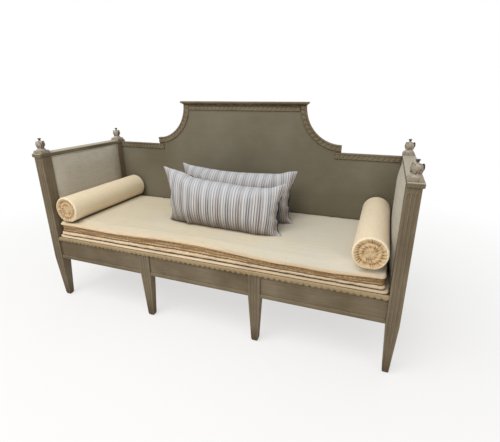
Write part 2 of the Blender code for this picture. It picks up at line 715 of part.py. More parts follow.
def make_seat_frame():
    """Drop-in frame whose ends and cross rails stand between its two long rails."""
    half, width = SEAT_FRAME_HALF, SEAT_FRAME_WIDTH
    low, high = SEAT_FRAME_BOTTOM, SEAT_FRAME_TOP
    for end, face, inward in (("front", SEAT_FRAME_FRONT, 1), ("rear", SEAT_FRAME_BACK, -1)):
        box("seat_frame_" + end + "_rail", (-half, face, low), (half, face + inward * width, high), BARE_WOOD)
    front, back = SEAT_FRAME_FRONT + width + GAP, SEAT_FRAME_BACK - width - GAP
    for label, side in SIDES:
        prefix = "seat_frame_" + label
        box(prefix + "_end", (side * half, front, low), (side * (half - width), back, high), BARE_WOOD)
        x = side * LEG_CENTRE
        box(prefix + "_cross_rail", (x - width / 2, front, low), (x + width / 2, back, high), BARE_WOOD)


def make_ledges():
    """Strips along the long rails that carry the seat frame, between the corner blocks."""
    half = POST_INNER - CORNER_BLOCK_REACH - LEDGE_END_GAP
    top = SEAT_FRAME_BOTTOM - GAP
    for end, sign in (("front", 1), ("rear", -1)):
        face = sign * (RAIL_INNER + GAP)
        corner = (-half, face, top - LEDGE_HEIGHT)
        box(end + "_seat_ledge", corner, (half, face + sign * LEDGE_WIDTH, top), BARE_WOOD)


def make_corner_blocks():
    """Three-cornered blocks in the seat's corners, notched round the posts."""
    top = SEAT_FRAME_BOTTOM - GAP
    for end, sign, post_face in (("front", 1, FRONT_POST_REAR), ("rear", -1, REAR_POST_FRONT)):
        for label, side in SIDES:
            rail_y, post_y = sign * (RAIL_INNER + GAP), post_face + sign * GAP
            post_x, rail_x = POST_INNER - GAP, SIDE_RAIL_INNER - GAP
            plan = [(post_x - CORNER_BLOCK_REACH, rail_y), (post_x, rail_y), (post_x, post_y),
                    (rail_x, post_y), (rail_x, post_y + sign * CORNER_BLOCK_REACH)]
            rings = [[(side * x, y, z) for x, y in plan] for z in (top - CORNER_BLOCK_HEIGHT, top)]
            name = label + "_" + end + "_corner_block"
            place(name, loft_mesh(name, rings), BARE_WOOD)


def make_webbing():
    """Lattice of bands, woven through each other and tacked to the seat frame."""
    half_x, half_y = SEAT_FRAME_HALF - WEBBING_EDGE, SEAT_FRAME_BACK - WEBBING_EDGE
    low, high = SEAT_FRAME_TOP + GAP, SEAT_FRAME_TOP + GAP + WEBBING_THICKNESS
    reach = WEBBING_WIDTH / 2
    lengthwise, crosswise = [], []
    for i in range(WEBBING_LENGTHWISE_COUNT):
        y = half_y * (2 * (i + 0.5) / WEBBING_LENGTHWISE_COUNT - 1)
        lengthwise.append(((-half_x, y - reach, low), (half_x, y + reach, high)))
    for i in range(WEBBING_CROSSWISE_COUNT):
        x = half_x * (2 * (i + 0.5) / WEBBING_CROSSWISE_COUNT - 1)
        crosswise.append(((x - reach, -half_y, low), (x + reach, half_y, high)))
    webbing = place("seat_webbing", box_mesh("seat_webbing", lengthwise), JUTE)
    combine(webbing, "crosswise_bands", crosswise, "UNION")


def make_deck():
    """Flat linen-covered pad that lies on the rails and the webbing."""
    half = POST_INNER - GAP
    deck = box("seat_deck", (-half, RAIL_FACE, DECK_BOTTOM), (half, PANEL_FACE - GAP, DECK_TOP), LINEN)
    round_edges(deck, DECK_ROUND, 3)


def soft_outline(half_x, half_y, corner, waist):
    """Rounded rectangle, anticlockwise, whose sides are drawn in between the corners."""
    points = []
    signs = ((1, -1), (1, 1), (-1, 1), (-1, -1))
    for quarter, (sx, sy) in enumerate(signs):
        centre = Vector((sx * (half_x - corner), sy * (half_y - corner)))
        for step in range(MATTRESS_CORNER_STEPS + 1):
            angle = pi / 2 * (quarter - 1 + step / MATTRESS_CORNER_STEPS)
            points.append(centre + corner * Vector((cos(angle), sin(angle))))
        following = signs[(quarter + 1) % 4]
        end_centre = Vector((following[0] * (half_x - corner), following[1] * (half_y - corner)))
        outward = Vector((cos(pi / 2 * quarter + pi / 2), sin(pi / 2 * quarter + pi / 2)))
        for step in range(1, MATTRESS_SIDE_STEPS):
            share = step / MATTRESS_SIDE_STEPS
            pull = waist * 4 * share * (1 - share)
            points.append(centre.lerp(end_centre, share) + outward * (corner - pull))
    return points


def mattress_profile():
    """Edge section as (inset from the outline, level above the deck), from the bottom up.

    It has a roll, a sunk border with a seam along its middle, a second roll and a low crown.
    """
    roll, groove, border = MATTRESS_ROLL, MATTRESS_GROOVE, MATTRESS_BORDER
    points = [(MATTRESS_BASE_INSET, 0)]
    for centre in (roll, 3 * roll + border):
        for step in range(1, MATTRESS_ROLL_STEPS + 1):
            angle = pi * step / (MATTRESS_ROLL_STEPS + 1)
            points.append((groove * (1 - sin(angle)), centre - roll * cos(angle)))
    folds = [(groove - MATTRESS_FOLD * (quarter % 2), 2 * roll + border * quarter / 4) for quarter in range(5)]
    points[MATTRESS_ROLL_STEPS + 1:MATTRESS_ROLL_STEPS + 1] = folds
    points.append((groove + roll, MATTRESS_EDGE - MATTRESS_TUCK))
    points.append((MATTRESS_CROWN_RUN * 0.7, MATTRESS_EDGE + MATTRESS_CROWN * 0.75))
    points.append((MATTRESS_CROWN_RUN, MATTRESS_EDGE + MATTRESS_CROWN))
    return points


def make_mattress():
    half_x = ARM_CROWN - MATTRESS_END_CLEARANCE
    front, back = RAIL_FACE, PANEL_FACE - MATTRESS_BACK_CLEARANCE
    half_y = (back - front) / 2
    centre_y = (back + front) / 2
    rings = []
    for inset, level in mattress_profile():
        corner = MATTRESS_CORNER * (half_y - inset) / half_y
        outline = soft_outline(half_x - inset, half_y - inset, corner, MATTRESS_WAIST)
        rings.append([(p.x, centre_y + p.y, MATTRESS_BOTTOM + level) for p in outline])
    mesh = loft_mesh("seat_mattress", rings, smooth=True)
    return place("seat_mattress", mesh, LINEN, (0, centre_y, MATTRESS_BOTTOM))


def bolster_stations(length):
    """Rings of a bolster from its front end to its rear end, as (distance, radius, pleat share)."""
    radius = BOLSTER_RADIUS
    end = [(BOLSTER_DISH, BOLSTER_PUCKER_RADIUS, 0.3), (BOLSTER_DISH * 0.55, radius * 0.36, 1.0),
           (BOLSTER_DISH * 0.1, radius * 0.72, 0.8), (0.0, radius * 0.86, 0.3),
           (BOLSTER_END_ROUND * 0.3, radius * 0.96, 0.0), (BOLSTER_END_ROUND, radius, 0.0)]
    middle = [(length * share, radius + BOLSTER_CROWN, 0.0) for share in (0.3, 0.7)]
    return end + middle + [(length - along, r, pleat) for along, r, pleat in reversed(end)]


def make_bolsters(mattress):
    front = RAIL_FACE - BOLSTER_FRONT_OVERHANG
    length = PANEL_FACE - BOLSTER_BACK_CLEARANCE - front
    centre_z = CUSHION_FLOOR + BOLSTER_RADIUS - BOLSTER_FLAT
    turns = 2 * BOLSTER_PLEATS
    for label, side in SIDES:
        centre_x = side * (ARM_CROWN - BOLSTER_SIDE_CLEARANCE - BOLSTER_RADIUS)
        rings = []
        for along, radius, pleat in bolster_stations(length):
            ring = []
            for i in range(turns):
                angle = 2 * pi * i / turns
                ruffle = BOLSTER_PLEAT_DEPTH * pleat * (1 if i % 2 else -1)
                inward = 1 if along < length / 2 else -1
                z = max(CUSHION_FLOOR, centre_z + radius * sin(angle))
                ring.append((centre_x + radius * cos(angle), front + along + inward * ruffle, z))
            rings.append(ring)
        name = label + "_bolster"
        centre = (centre_x, front + length / 2, centre_z)
        place(name, loft_mesh(name, rings, smooth=True), LINEN, centre, mattress)


def pillow_shape():
    """Upright pillow about its own centre: two swelling faces sewn along edges that pull in."""
    shape = bmesh.new()
    bmesh.ops.create_grid(shape, x_segments=PILLOW_SEGMENTS_X, y_segments=PILLOW_SEGMENTS_Z, size=1)
    other = bmesh.ops.duplicate(shape, geom=shape.faces[:] + shape.verts[:] + shape.edges[:])["geom"]
    rear = {item for item in other if isinstance(item, bmesh.types.BMVert)}
    for vert in shape.verts:
        u, v = vert.co.x, vert.co.y
        swell = PILLOW_THICKNESS / 2 * (max(0, 1 - abs(u) ** 3) * max(0, 1 - v * v)) ** 0.6
        x = u * (PILLOW_WIDTH / 2 - PILLOW_SIDE_PULL * (1 - v * v) * u * u)
        z = v * (PILLOW_HEIGHT / 2 - PILLOW_TOP_PULL * (1 - u * u) * v * v)
        vert.co = (x, swell if vert in rear else -swell, z)
    bmesh.ops.remove_doubles(shape, verts=shape.verts, dist=0.00005)
    return shape


def make_pillows(mattress):
    """Two lumbar pillows standing on the mattress with a slight lean, one in front of the other."""
    lean = Matrix.Rotation(-PILLOW_LEAN, 4, "X")
    rear_centre = None
    parent = mattress
    plans = (
        ("rear_pillow", REAR_PILLOW_OFFSET, 0, 0),
        ("front_pillow", FRONT_PILLOW_OFFSET, FRONT_PILLOW_ROLL, FRONT_PILLOW_TURN),
    )
    for name, x, roll, turn in plans:
        shape = pillow_shape()
        pose = Matrix.Rotation(turn, 4, "Z") @ lean @ Matrix.Rotation(roll, 4, "Y")
        bmesh.ops.transform(shape, matrix=pose, verts=shape.verts)
        z = CUSHION_FLOOR - PILLOW_SETTLE - min(vert.co.z for vert in shape.verts)
        if rear_centre is None:
            y = PANEL_FACE - REAR_PILLOW_CLEARANCE - max(vert.co.y for vert in shape.verts)
            rear_centre = Vector((x, y, z))
        else:
            apart = PILLOW_THICKNESS + PILLOW_SPACING
            y = rear_centre.y + ((z - rear_centre.z) * sin(PILLOW_LEAN) - apart) / cos(PILLOW_LEAN)
        centre = Vector((x, y, z))
        bmesh.ops.translate(shape, vec=centre, verts=shape.verts)
        for vert in shape.verts:
            vert.co.z = max(vert.co.z, CUSHION_FLOOR)
        parent = place(name, mesh_from(name, shape, smooth=True), STRIPED_CLOTH, centre, parent)


def main():
    make_posts()
    make_middle_legs()
    make_long_rails()
    make_side_rails()
    make_rail_mouldings()
    make_arm_rails()
    make_arm_boards()
    make_arm_pads()
    make_back_panel()
    make_back_mouldings()
    make_cornice()
    make_battens()
    make_finials()
    make_seat_frame()
    make_ledges()
    make_corner_blocks()
    make_webbing()
    make_deck()
    mattress = make_mattress()
    make_bolsters(mattress)
    make_pillows(mattress)


main()
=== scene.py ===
"""Looks for a painted bench sofa in the Swedish neoclassical manner.

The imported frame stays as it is: its wood gets aged paint or bare pine, and its mouldings get carved
leaves. Its soft solids are replaced by sewn and stuffed pieces: a deck, a mattress with rolled edges,
two gathered bolsters, two striped pillows, four arm pads and woven webbing. Metres, +Z up, -Y to the
front.
"""

import json
import logging
import math
from collections.abc import Sequence
from dataclasses import dataclass
from enum import Enum

import bmesh
import bpy
import numpy as np
from bpy.types import ID, Material, Mesh, NodeSocket, NodeTree, Object
from mathutils import Matrix, Vector, noise

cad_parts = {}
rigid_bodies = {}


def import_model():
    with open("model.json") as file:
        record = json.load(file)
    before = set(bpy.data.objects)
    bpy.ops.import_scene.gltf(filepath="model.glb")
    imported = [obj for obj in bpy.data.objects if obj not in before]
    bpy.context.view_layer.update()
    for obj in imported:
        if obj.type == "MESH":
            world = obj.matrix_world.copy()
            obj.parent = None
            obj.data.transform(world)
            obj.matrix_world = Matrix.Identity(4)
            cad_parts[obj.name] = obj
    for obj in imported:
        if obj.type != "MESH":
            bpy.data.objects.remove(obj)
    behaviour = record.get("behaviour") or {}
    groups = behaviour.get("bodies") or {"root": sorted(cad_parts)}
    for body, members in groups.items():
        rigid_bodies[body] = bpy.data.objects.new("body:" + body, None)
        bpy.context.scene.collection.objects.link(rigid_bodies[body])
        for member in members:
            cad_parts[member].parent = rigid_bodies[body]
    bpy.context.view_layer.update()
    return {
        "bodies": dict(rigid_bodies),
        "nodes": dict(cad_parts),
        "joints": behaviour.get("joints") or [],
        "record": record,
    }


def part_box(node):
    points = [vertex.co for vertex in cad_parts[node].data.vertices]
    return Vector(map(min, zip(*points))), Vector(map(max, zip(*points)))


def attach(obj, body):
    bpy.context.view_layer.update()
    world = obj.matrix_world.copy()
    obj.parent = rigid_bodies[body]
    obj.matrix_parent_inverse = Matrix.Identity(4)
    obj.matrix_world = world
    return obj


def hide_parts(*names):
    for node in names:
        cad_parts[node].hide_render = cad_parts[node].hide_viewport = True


Finishes = dict[str, Material]
LOG = logging.getLogger("sofa")
CLOTH_MAP, RELIEF, FRAME_BODY = "cloth", "relief", "frame"
SIDES = (("left", -1), ("right", 1))
SPLIT, MIX, RANGE = "ShaderNodeSeparateXYZ", "ShaderNodeMix", "ShaderNodeMapRange"
MATH, NOISE, WAVE = "ShaderNodeMath", "ShaderNodeTexNoise", "ShaderNodeTexWave"
HOLLOWS = "ShaderNodeAmbientOcclusion"
HOLLOW_SAMPLES = 6
WAVE_SCALE = 314.16  # Scale at which a wave texture repeats every millimetre.
TINY = 1e-9


class Grain(Enum):
    """Axis that a board's grain and the brush marks on it run along."""

    ALONG_X = 0
    ALONG_Y = 1
    ALONG_Z = 2


class LeafLay(Enum):
    """How carved leaves lie on their moulding, as a turn from the moulding's run."""

    ROPED = math.radians(52)
    ACROSS = math.radians(90)
    SPIRAL = math.radians(108)


def linear_colour(code: str) -> tuple[float, float, float, float]:
    """Linear RGBA of an sRGB hex colour.

    Args:
        code: Colour as "#rrggbb".

    Returns:
        Linear red, green and blue, with an alpha of 1.
    """
    channels = [int(code[i : i + 2], 16) / 255 for i in (1, 3, 5)]
    red, green, blue = (c / 12.92 if c <= 0.04045 else ((c + 0.055) / 1.055) ** 2.4 for c in channels)
    return red, green, blue, 1.0


def add_object(name: str, data: ID) -> Object:
    """Make an object of a mesh, lamp or camera, and link it to the scene."""
    bpy.context.scene.collection.objects.link(thing := bpy.data.objects.new(name, data))
    return thing


def add_node(tree: NodeTree, kind: str, inputs: dict | None = None, output: int | str = 0,
             **settings: object) -> NodeSocket | None:
    """Add a node, set its properties, and fill its inputs with values or with links.

    Args:
        tree: Shader or geometry tree that gets the node.
        kind: Blender's name for the node's type.
        inputs: Value, hex colour or output socket for each input, by name or number.
        output: Name or number of the output that is wanted.
        settings: The node's own properties.

    Returns:
        The wanted output's socket, or None for a node that has no outputs.
    """
    node = tree.nodes.new(kind)
    for name, value in settings.items():
        setattr(node, name, value)
    for key, value in (inputs or {}).items():
        if isinstance(value, NodeSocket):
            tree.links.new(value, node.inputs[key])
        else:
            is_colour = isinstance(value, str) and value.startswith("#")
            node.inputs[key].default_value = linear_colour(value) if is_colour else value
    return node.outputs[output] if len(node.outputs) else None


def new_material(name: str) -> tuple[Material, NodeTree]:
    """A material with an empty node tree.

    Args:
        name: The material's name.

    Returns:
        The material and its tree.
    """
    material = bpy.data.materials.new(name)
    material.use_nodes = True
    material.node_tree.nodes.clear()
    return material, material.node_tree


def lay_colours(tree: NodeTree, ground: object, layers: Sequence[tuple]) -> NodeSocket:
    """Lay colours over each other, each where a value passes through a range.

    Args:
        tree: Shader tree.
        ground: Colour under the layers, as a hex code or a socket.
        layers: For each, a value's socket, its level where the layer starts, its level where the layer
            is full, the layer's greatest share as a number or a socket, and its colour.

    Returns:
        The layered colour's socket.
    """
    for value, start, full, most, code in layers:
        share = add_node(tree, RANGE, {0: value, 1: start, 2: full, 4: most})
        ground = add_node(tree, MIX, {0: share, 6: ground, 7: code}, 2, data_type="RGBA")
    return ground


def drawn_noise(tree: NodeTree, place: NodeSocket, way: int, run: float, inputs: dict) -> NodeSocket:
    """Noise drawn out along one axis.

    Args:
        tree: Shader tree.
        place: Coordinates.
        way: Number of the axis.
        run: How many times longer than wide the noise is.
        inputs: Further inputs of the noise.

    Returns:
        The noise's socket.
    """
    scale = [1.0, 1.0, 1.0]
    scale[way] /= run
    drawn = add_node(tree, "ShaderNodeMapping", {"Vector": place, "Scale": scale})
    return add_node(tree, NOISE, {"Vector": drawn, **inputs})


def weave(tree: NodeTree, threads: NodeSocket, thread_mm: float, inputs: dict) -> NodeSocket:
    """Relief of threads that cross each other.

    Args:
        tree: Shader tree.
        threads: Cloth coordinates in metres.
        thread_mm: Distance between the threads.
        inputs: Further inputs of the waves.

    Returns:
        Height from 0 to 1.
    """
    wave = {"Vector": threads, "Scale": WAVE_SCALE / thread_mm, **inputs}
    ways = [add_node(tree, WAVE, wave, "Fac", bands_direction=way) for way in ("X", "Y")]
    return add_node(tree, MATH, dict(enumerate(ways)), operation="MULTIPLY")


def upwardness(tree: NodeTree) -> NodeSocket:
    """How far a surface faces up, from -1 to 1."""
    return add_node(tree, SPLIT, {0: add_node(tree, "ShaderNodeNewGeometry", output="Normal")}, 2)


@dataclass(frozen=True)
class Finish:
    """A surface with a colour and a fine relief, made as one material."""

    name: str

    def wire(self, tree: NodeTree) -> tuple[dict, dict]:
        """Build the nodes for the colour and the relief.

        Args:
            tree: The material's tree.

        Returns:
            Inputs of the surface's shader and of the bump on it.
        """
        raise NotImplementedError

    def build(self) -> Material:
        """Make the material.

        Returns:
            The finished material.
        """
        material, tree = new_material(self.name)
        surface, relief = self.wire(tree)
        bump = add_node(tree, "ShaderNodeBump", relief)
        shader = add_node(tree, "ShaderNodeBsdfPrincipled", {**surface, "Normal": bump})
        add_node(tree, "ShaderNodeOutputMaterial", {"Surface": shader})
        return material


@dataclass(frozen=True)
class AgedPaint(Finish):
    """Old distemper paint, brushed by hand on pine and rubbed by use.

    It gives a dull, chalky grey-brown with brush marks along the board, paler worn edges where brown
    wood shows in spots, and dark feet. In the quirks of the mouldings it lays a dark colour that is
    partly grime and partly painted shade, and faces that look up can be made paler, partly rubbed and
    partly a painted highlight. On carving, one share sets how much of the dark colour lies round each
    leaf, partly grime and partly painted shade, and another how far each ridge is made paler, partly
    rubbed and partly a painted highlight. Above the height dark_above and below dark_below the dark
    colour is laid as painted shadow on the cornice's lower part and the crest's top strip, as painted
    shade under the seat rail's carving, and as a dark tip and foot band on the finials.
    """

    grain: Grain
    coat: str = "#64573f"
    chalk: str = "#7a6e59"
    thin: str = "#564834"
    grime_and_shade: str = "#2c2317"
    rubbed_and_highlight: str = "#9c8e76"
    wood: str = "#7c573b"
    feet: str = "#46331f"
    streaks: float = 0.45
    top_wear_and_highlight: float = 0.0
    rim_grime_and_shade: float = 0.0
    ridge_wear_and_highlight: float = 0.0
    quirk_grime_and_shade: float = 0.8
    dark_above: float = 9.0
    dark_below: float = -9.0
    stroke_mm: float = 5.0
    stroke_run: float = 26.0
    patch_mm: float = 230.0
    spot_mm: float = 28.0
    edge_depth: float = 0.0045
    quirk_depth: float = 0.014

    def wire(self, tree: NodeTree) -> tuple[dict, dict]:
        """Brush marks and chalky patches under the wear, the dirt and the painted light and shade, with the
        marks as relief.

        Args:
            tree: The material's tree.

        Returns:
            Inputs of the shader and of the bump.
        """
        place = add_node(tree, "ShaderNodeTexCoord", output="Object")
        strokes = drawn_noise(tree, place, self.grain.value, self.stroke_run,
                              {"Scale": 1000 / self.stroke_mm, "Detail": 4.0, "Roughness": 0.6})
        patches = add_node(tree, NOISE, {"Vector": place, "Scale": 1000 / self.patch_mm, "Detail": 4.0,
                                         "Roughness": 0.55})
        height = add_node(tree, SPLIT, {0: place}, 2)
        layers = [(patches, 0.36, 0.66, 1.0, self.chalk), (strokes, 0.50, 0.30, self.streaks, self.thin),
                  (strokes, 0.58, 0.78, self.streaks * 0.7, self.rubbed_and_highlight),
                  (height, 0.11, 0.01, 0.75, self.feet), *self.wear(tree, place, height)]
        rough = add_node(tree, RANGE, {0: patches, 1: 0.3, 2: 0.7, 3: 0.52, 4: 0.72})
        return ({"Base Color": lay_colours(tree, self.coat, layers), "Roughness": rough,
                 "Specular IOR Level": 0.25}, {"Strength": 0.3, "Distance": 0.0006, "Height": strokes})

    def wear(self, tree: NodeTree, place: NodeSocket, height: NodeSocket) -> list[tuple]:
        """Layers of wear, dirt and painted light: rubbed tops with a painted highlight, edges worn pale and in
        spots to the wood, and grime with painted shade.

        Args:
            tree: The material's tree.
            place: Object coordinates.
            height: The third of them.

        Returns:
            The layers.
        """
        edge = add_node(tree, HOLLOWS, {"Distance": self.edge_depth}, "AO", samples=HOLLOW_SAMPLES,
                        inside=True, only_local=True)
        hollow = add_node(tree, HOLLOWS, {"Distance": self.quirk_depth}, "AO", samples=HOLLOW_SAMPLES)
        spots = add_node(tree, NOISE, {"Vector": place, "Scale": 1000 / self.spot_mm, "Detail": 4.0,
                                       "Roughness": 0.7})
        ranges = ((0.38, 0.60, 0.0, 0.5), (0.55, 0.66, 0.0, 0.8), (0.40, 0.56, 0.25, 0.9))
        pale, bare, dashes = (add_node(tree, RANGE, {0: spots, 1: start, 2: full, 3: least, 4: most})
                              for start, full, least, most in ranges)
        layers = [(edge, 0.92, 0.45, pale, self.rubbed_and_highlight), (edge, 0.80, 0.40, bare, self.wood),
                  # Dark bands: painted shadow on the cornice and the crest, painted shade under the rail's
                  # carving, and the finials' dark tips and foot bands.
                  (height, self.dark_above, self.dark_above + 0.006, 0.75, self.grime_and_shade),
                  (height, self.dark_below, self.dark_below - 0.002, dashes, self.grime_and_shade)]
        # Faces that look up are paler: partly rubbed paint, partly a painted highlight.
        if self.top_wear_and_highlight:
            layers.insert(0, (upwardness(tree), 0.15, 0.75, self.top_wear_and_highlight, self.rubbed_and_highlight))
        # Round each carved leaf a dark rim, partly grime and partly painted shade, and a paler ridge, partly
        # rubbed and partly a painted highlight.
        if self.rim_grime_and_shade:
            relief = add_node(tree, "ShaderNodeAttribute", output="Fac", attribute_name=RELIEF)
            layers += [(relief, 0.55, 0.12, self.rim_grime_and_shade, self.grime_and_shade),
                       (relief, 0.80, 1.0, self.ridge_wear_and_highlight, self.rubbed_and_highlight)]
        # In quirks and hollows a dark colour, partly grime and partly painted shade.
        return layers + [(hollow, 0.62, 0.15, self.quirk_grime_and_shade, self.grime_and_shade)]


@dataclass(frozen=True)
class BarePine(Finish):
    """Unpainted pine, planed by hand and darkened with age: brown, with streaky growth rings."""

    grain: Grain
    early: str = "#a5805a"
    late: str = "#7b5636"
    ring_mm: float = 9.0
    ring_run: float = 22.0

    def wire(self, tree: NodeTree) -> tuple[dict, dict]:
        """Rings as colour and as relief.

        Args:
            tree: The material's tree.

        Returns:
            Inputs of the shader and of the bump.
        """
        place = add_node(tree, "ShaderNodeTexCoord", output="Object")
        rings = drawn_noise(tree, place, self.grain.value, self.ring_run,
                            {"Scale": 1000 / self.ring_mm, "Detail": 5.0, "Distortion": 0.4})
        colour = lay_colours(tree, self.early, [(rings, 0.38, 0.64, 1.0, self.late)])
        return ({"Base Color": colour, "Roughness": 0.68, "Specular IOR Level": 0.3},
                {"Strength": 0.4, "Distance": 0.0005, "Height": rings})


@dataclass(frozen=True)
class Linen(Finish):
    """Plain-woven linen: dull, with slubbed threads both ways, and painted shade in a warmer, darker colour
    down in its folds and hollows.

    Faded is a greyer tone in soft stains, more of them towards +X.
    The threads are about 0.7 mm apart on the real cloth. They are drawn at thread_mm, coarser, so that
    they still show in a render.
    """

    cloth: str
    slub: str
    fold: str
    thread_mm: float = 2.6
    slub_mm: float = 3.4
    slub_run: float = 24.0
    stripe_mm: float = 0.0
    stripe: str = "#bfae8c"
    stripe_share: float = 0.10
    fold_depth: float = 0.014
    fold_start: float = 0.85
    fold_full: float = 0.25
    streaks: float = 0.55
    faded: str = ""
    stain_mm: float = 190.0

    def wire(self, tree: NodeTree) -> tuple[dict, dict]:
        """Slubs, stains, stripes and folds as colour, with the threads as relief.

        Args:
            tree: The material's tree.

        Returns:
            Inputs of the shader and of the bump.
        """
        threads = add_node(tree, "ShaderNodeUVMap", uv_map=CLOTH_MAP)
        slubs = {"Scale": 1000 / self.slub_mm, "Detail": 3.0}
        warp, weft = (drawn_noise(tree, threads, way, self.slub_run, slubs) for way in (0, 1))
        layers = [(warp, 0.50, 0.72, self.streaks, self.slub),
                  (weft, 0.54, 0.76, 1 - self.streaks, self.slub)]
        if self.faded:
            place = add_node(tree, "ShaderNodeTexCoord", output="Object")
            stains = add_node(tree, NOISE, {"Vector": place, "Scale": 1000 / self.stain_mm, "Detail": 3.0})
            across = add_node(tree, SPLIT, {0: place}, "X")
            greyer_share = add_node(tree, MATH, {0: across, 1: 0.35, 2: stains}, operation="MULTIPLY_ADD")
            layers.append((greyer_share, 0.42, 0.72, 0.75, self.faded))
        if self.stripe_mm:
            bands = add_node(tree, WAVE, {"Vector": threads, "Scale": WAVE_SCALE / self.stripe_mm,
                                          "Distortion": 0.6, "Detail": 1.0}, "Fac", bands_direction="Y")
            layers.append((bands, 0.55, 0.95, self.stripe_share, self.stripe))
        # Painted shade: the fold colour darkens the cloth in folds, creases and gaps, and where other pieces
        # lie close.
        hollow = add_node(tree, HOLLOWS, {"Distance": self.fold_depth}, "AO", samples=HOLLOW_SAMPLES)
        layers.append((hollow, self.fold_start, self.fold_full, 0.9, self.fold))
        crossing = weave(tree, threads, self.thread_mm, {"Distortion": 0.8, "Detail": 1.0})
        slubbed = add_node(tree, MATH, {0: weft, 1: 2 - 2 * self.streaks, 2: warp}, operation="MULTIPLY_ADD")
        relief = add_node(tree, MATH, {0: crossing, 1: 0.6, 2: slubbed}, operation="MULTIPLY_ADD")
        return ({"Base Color": lay_colours(tree, self.cloth, layers), "Roughness": 0.88,
                 "Specular IOR Level": 0.18, "Sheen Weight": 0.12, "Sheen Roughness": 0.5},
                {"Strength": 0.45, "Distance": 0.0008, "Height": relief})


@dataclass(frozen=True)
class StripedCotton(Finish):
    """Yarn-dyed cotton for pillow fronts: soft slate, mauve and taupe stripes under off-white pinstripes.

    Sky is a painted highlight: a cooler, paler tone laid where the cloth faces up.
    """

    ground: str = "#d0cbc5"
    slate: str = "#5c5f66"
    pale_blue: str = "#9a9795"
    mauve: str = "#6b5f62"
    taupe: str = "#62564b"
    shade: str = "#64523d"
    painted_sky_highlight: str = "#ccd1d8"
    repeat_mm: float = 117.0
    pin_mm: float = 14.625
    thread_mm: float = 2.4
    yarn_mm: float = 100 / 33
    yarn_run: float = 20.625
    shade_depth: float = 0.22

    def stops(self) -> list[tuple[float, str]]:
        """Stripes of one repeat.

        Returns:
            Start of each stripe in millimetres, with its colour.
        """
        mauve, taupe, pale, slate, ground = self.mauve, self.taupe, self.pale_blue, self.slate, self.ground
        return [(0, mauve), (7, taupe), (12, mauve), (19, pale), (22, taupe), (26, pale), (39, ground),
                (42, pale), (56, slate), (63, taupe), (68, slate), (75, pale), (79, slate), (83, pale),
                (96, ground), (99, mauve), (103, pale)]

    def wire(self, tree: NodeTree) -> tuple[dict, dict]:
        """Stripes, pinstripes and uneven yarn as colour, with the threads as relief.

        Args:
            tree: The material's tree.

        Returns:
            Inputs of the shader and of the bump.
        """
        threads = add_node(tree, "ShaderNodeUVMap", uv_map=CLOTH_MAP)
        across = add_node(tree, SPLIT, {0: threads}, "X")
        repeats = add_node(tree, MATH, {0: across, 1: 1000 / self.repeat_mm}, operation="MULTIPLY")
        phase = add_node(tree, MATH, {0: repeats}, operation="FRACT")
        striped = add_node(tree, "ShaderNodeValToRGB", {"Fac": phase})
        ramp = striped.node.color_ramp
        ramp.interpolation = "CONSTANT"
        ramp.elements.remove(ramp.elements[1])
        for start, code in self.stops():
            stop = ramp.elements.new(start / self.repeat_mm) if start else ramp.elements[0]
            stop.color = linear_colour(code)
        yarn = drawn_noise(tree, threads, 1, self.yarn_run, {"Scale": 1000 / self.yarn_mm, "Detail": 3.0})
        hollow = add_node(tree, HOLLOWS, {"Distance": self.shade_depth}, "AO", samples=HOLLOW_SAMPLES)
        pins = add_node(tree, WAVE, {"Vector": threads, "Scale": WAVE_SCALE / self.pin_mm}, "Fac",
                        bands_direction="X")
        # Upward faces get the painted sky highlight, and places near other things the painted shade.
        layers = [(pins, 0.66, 0.94, 0.72, self.ground), (pins, 0.22, 0.04, 0.45, self.taupe),
                  (yarn, 0.45, 0.75, 0.30, self.ground), (upwardness(tree), 0.25, 0.80, 0.40, self.painted_sky_highlight),
                  (hollow, 0.85, 0.40, 0.7, self.shade)]
        crossing = weave(tree, threads, self.thread_mm, {"Distortion": 0.6})
        return ({"Base Color": lay_colours(tree, striped, layers), "Roughness": 0.85,
                 "Specular IOR Level": 0.2, "Sheen Weight": 0.15, "Sheen Roughness": 0.5},
                {"Strength": 0.4, "Distance": 0.0007, "Height": crossing})


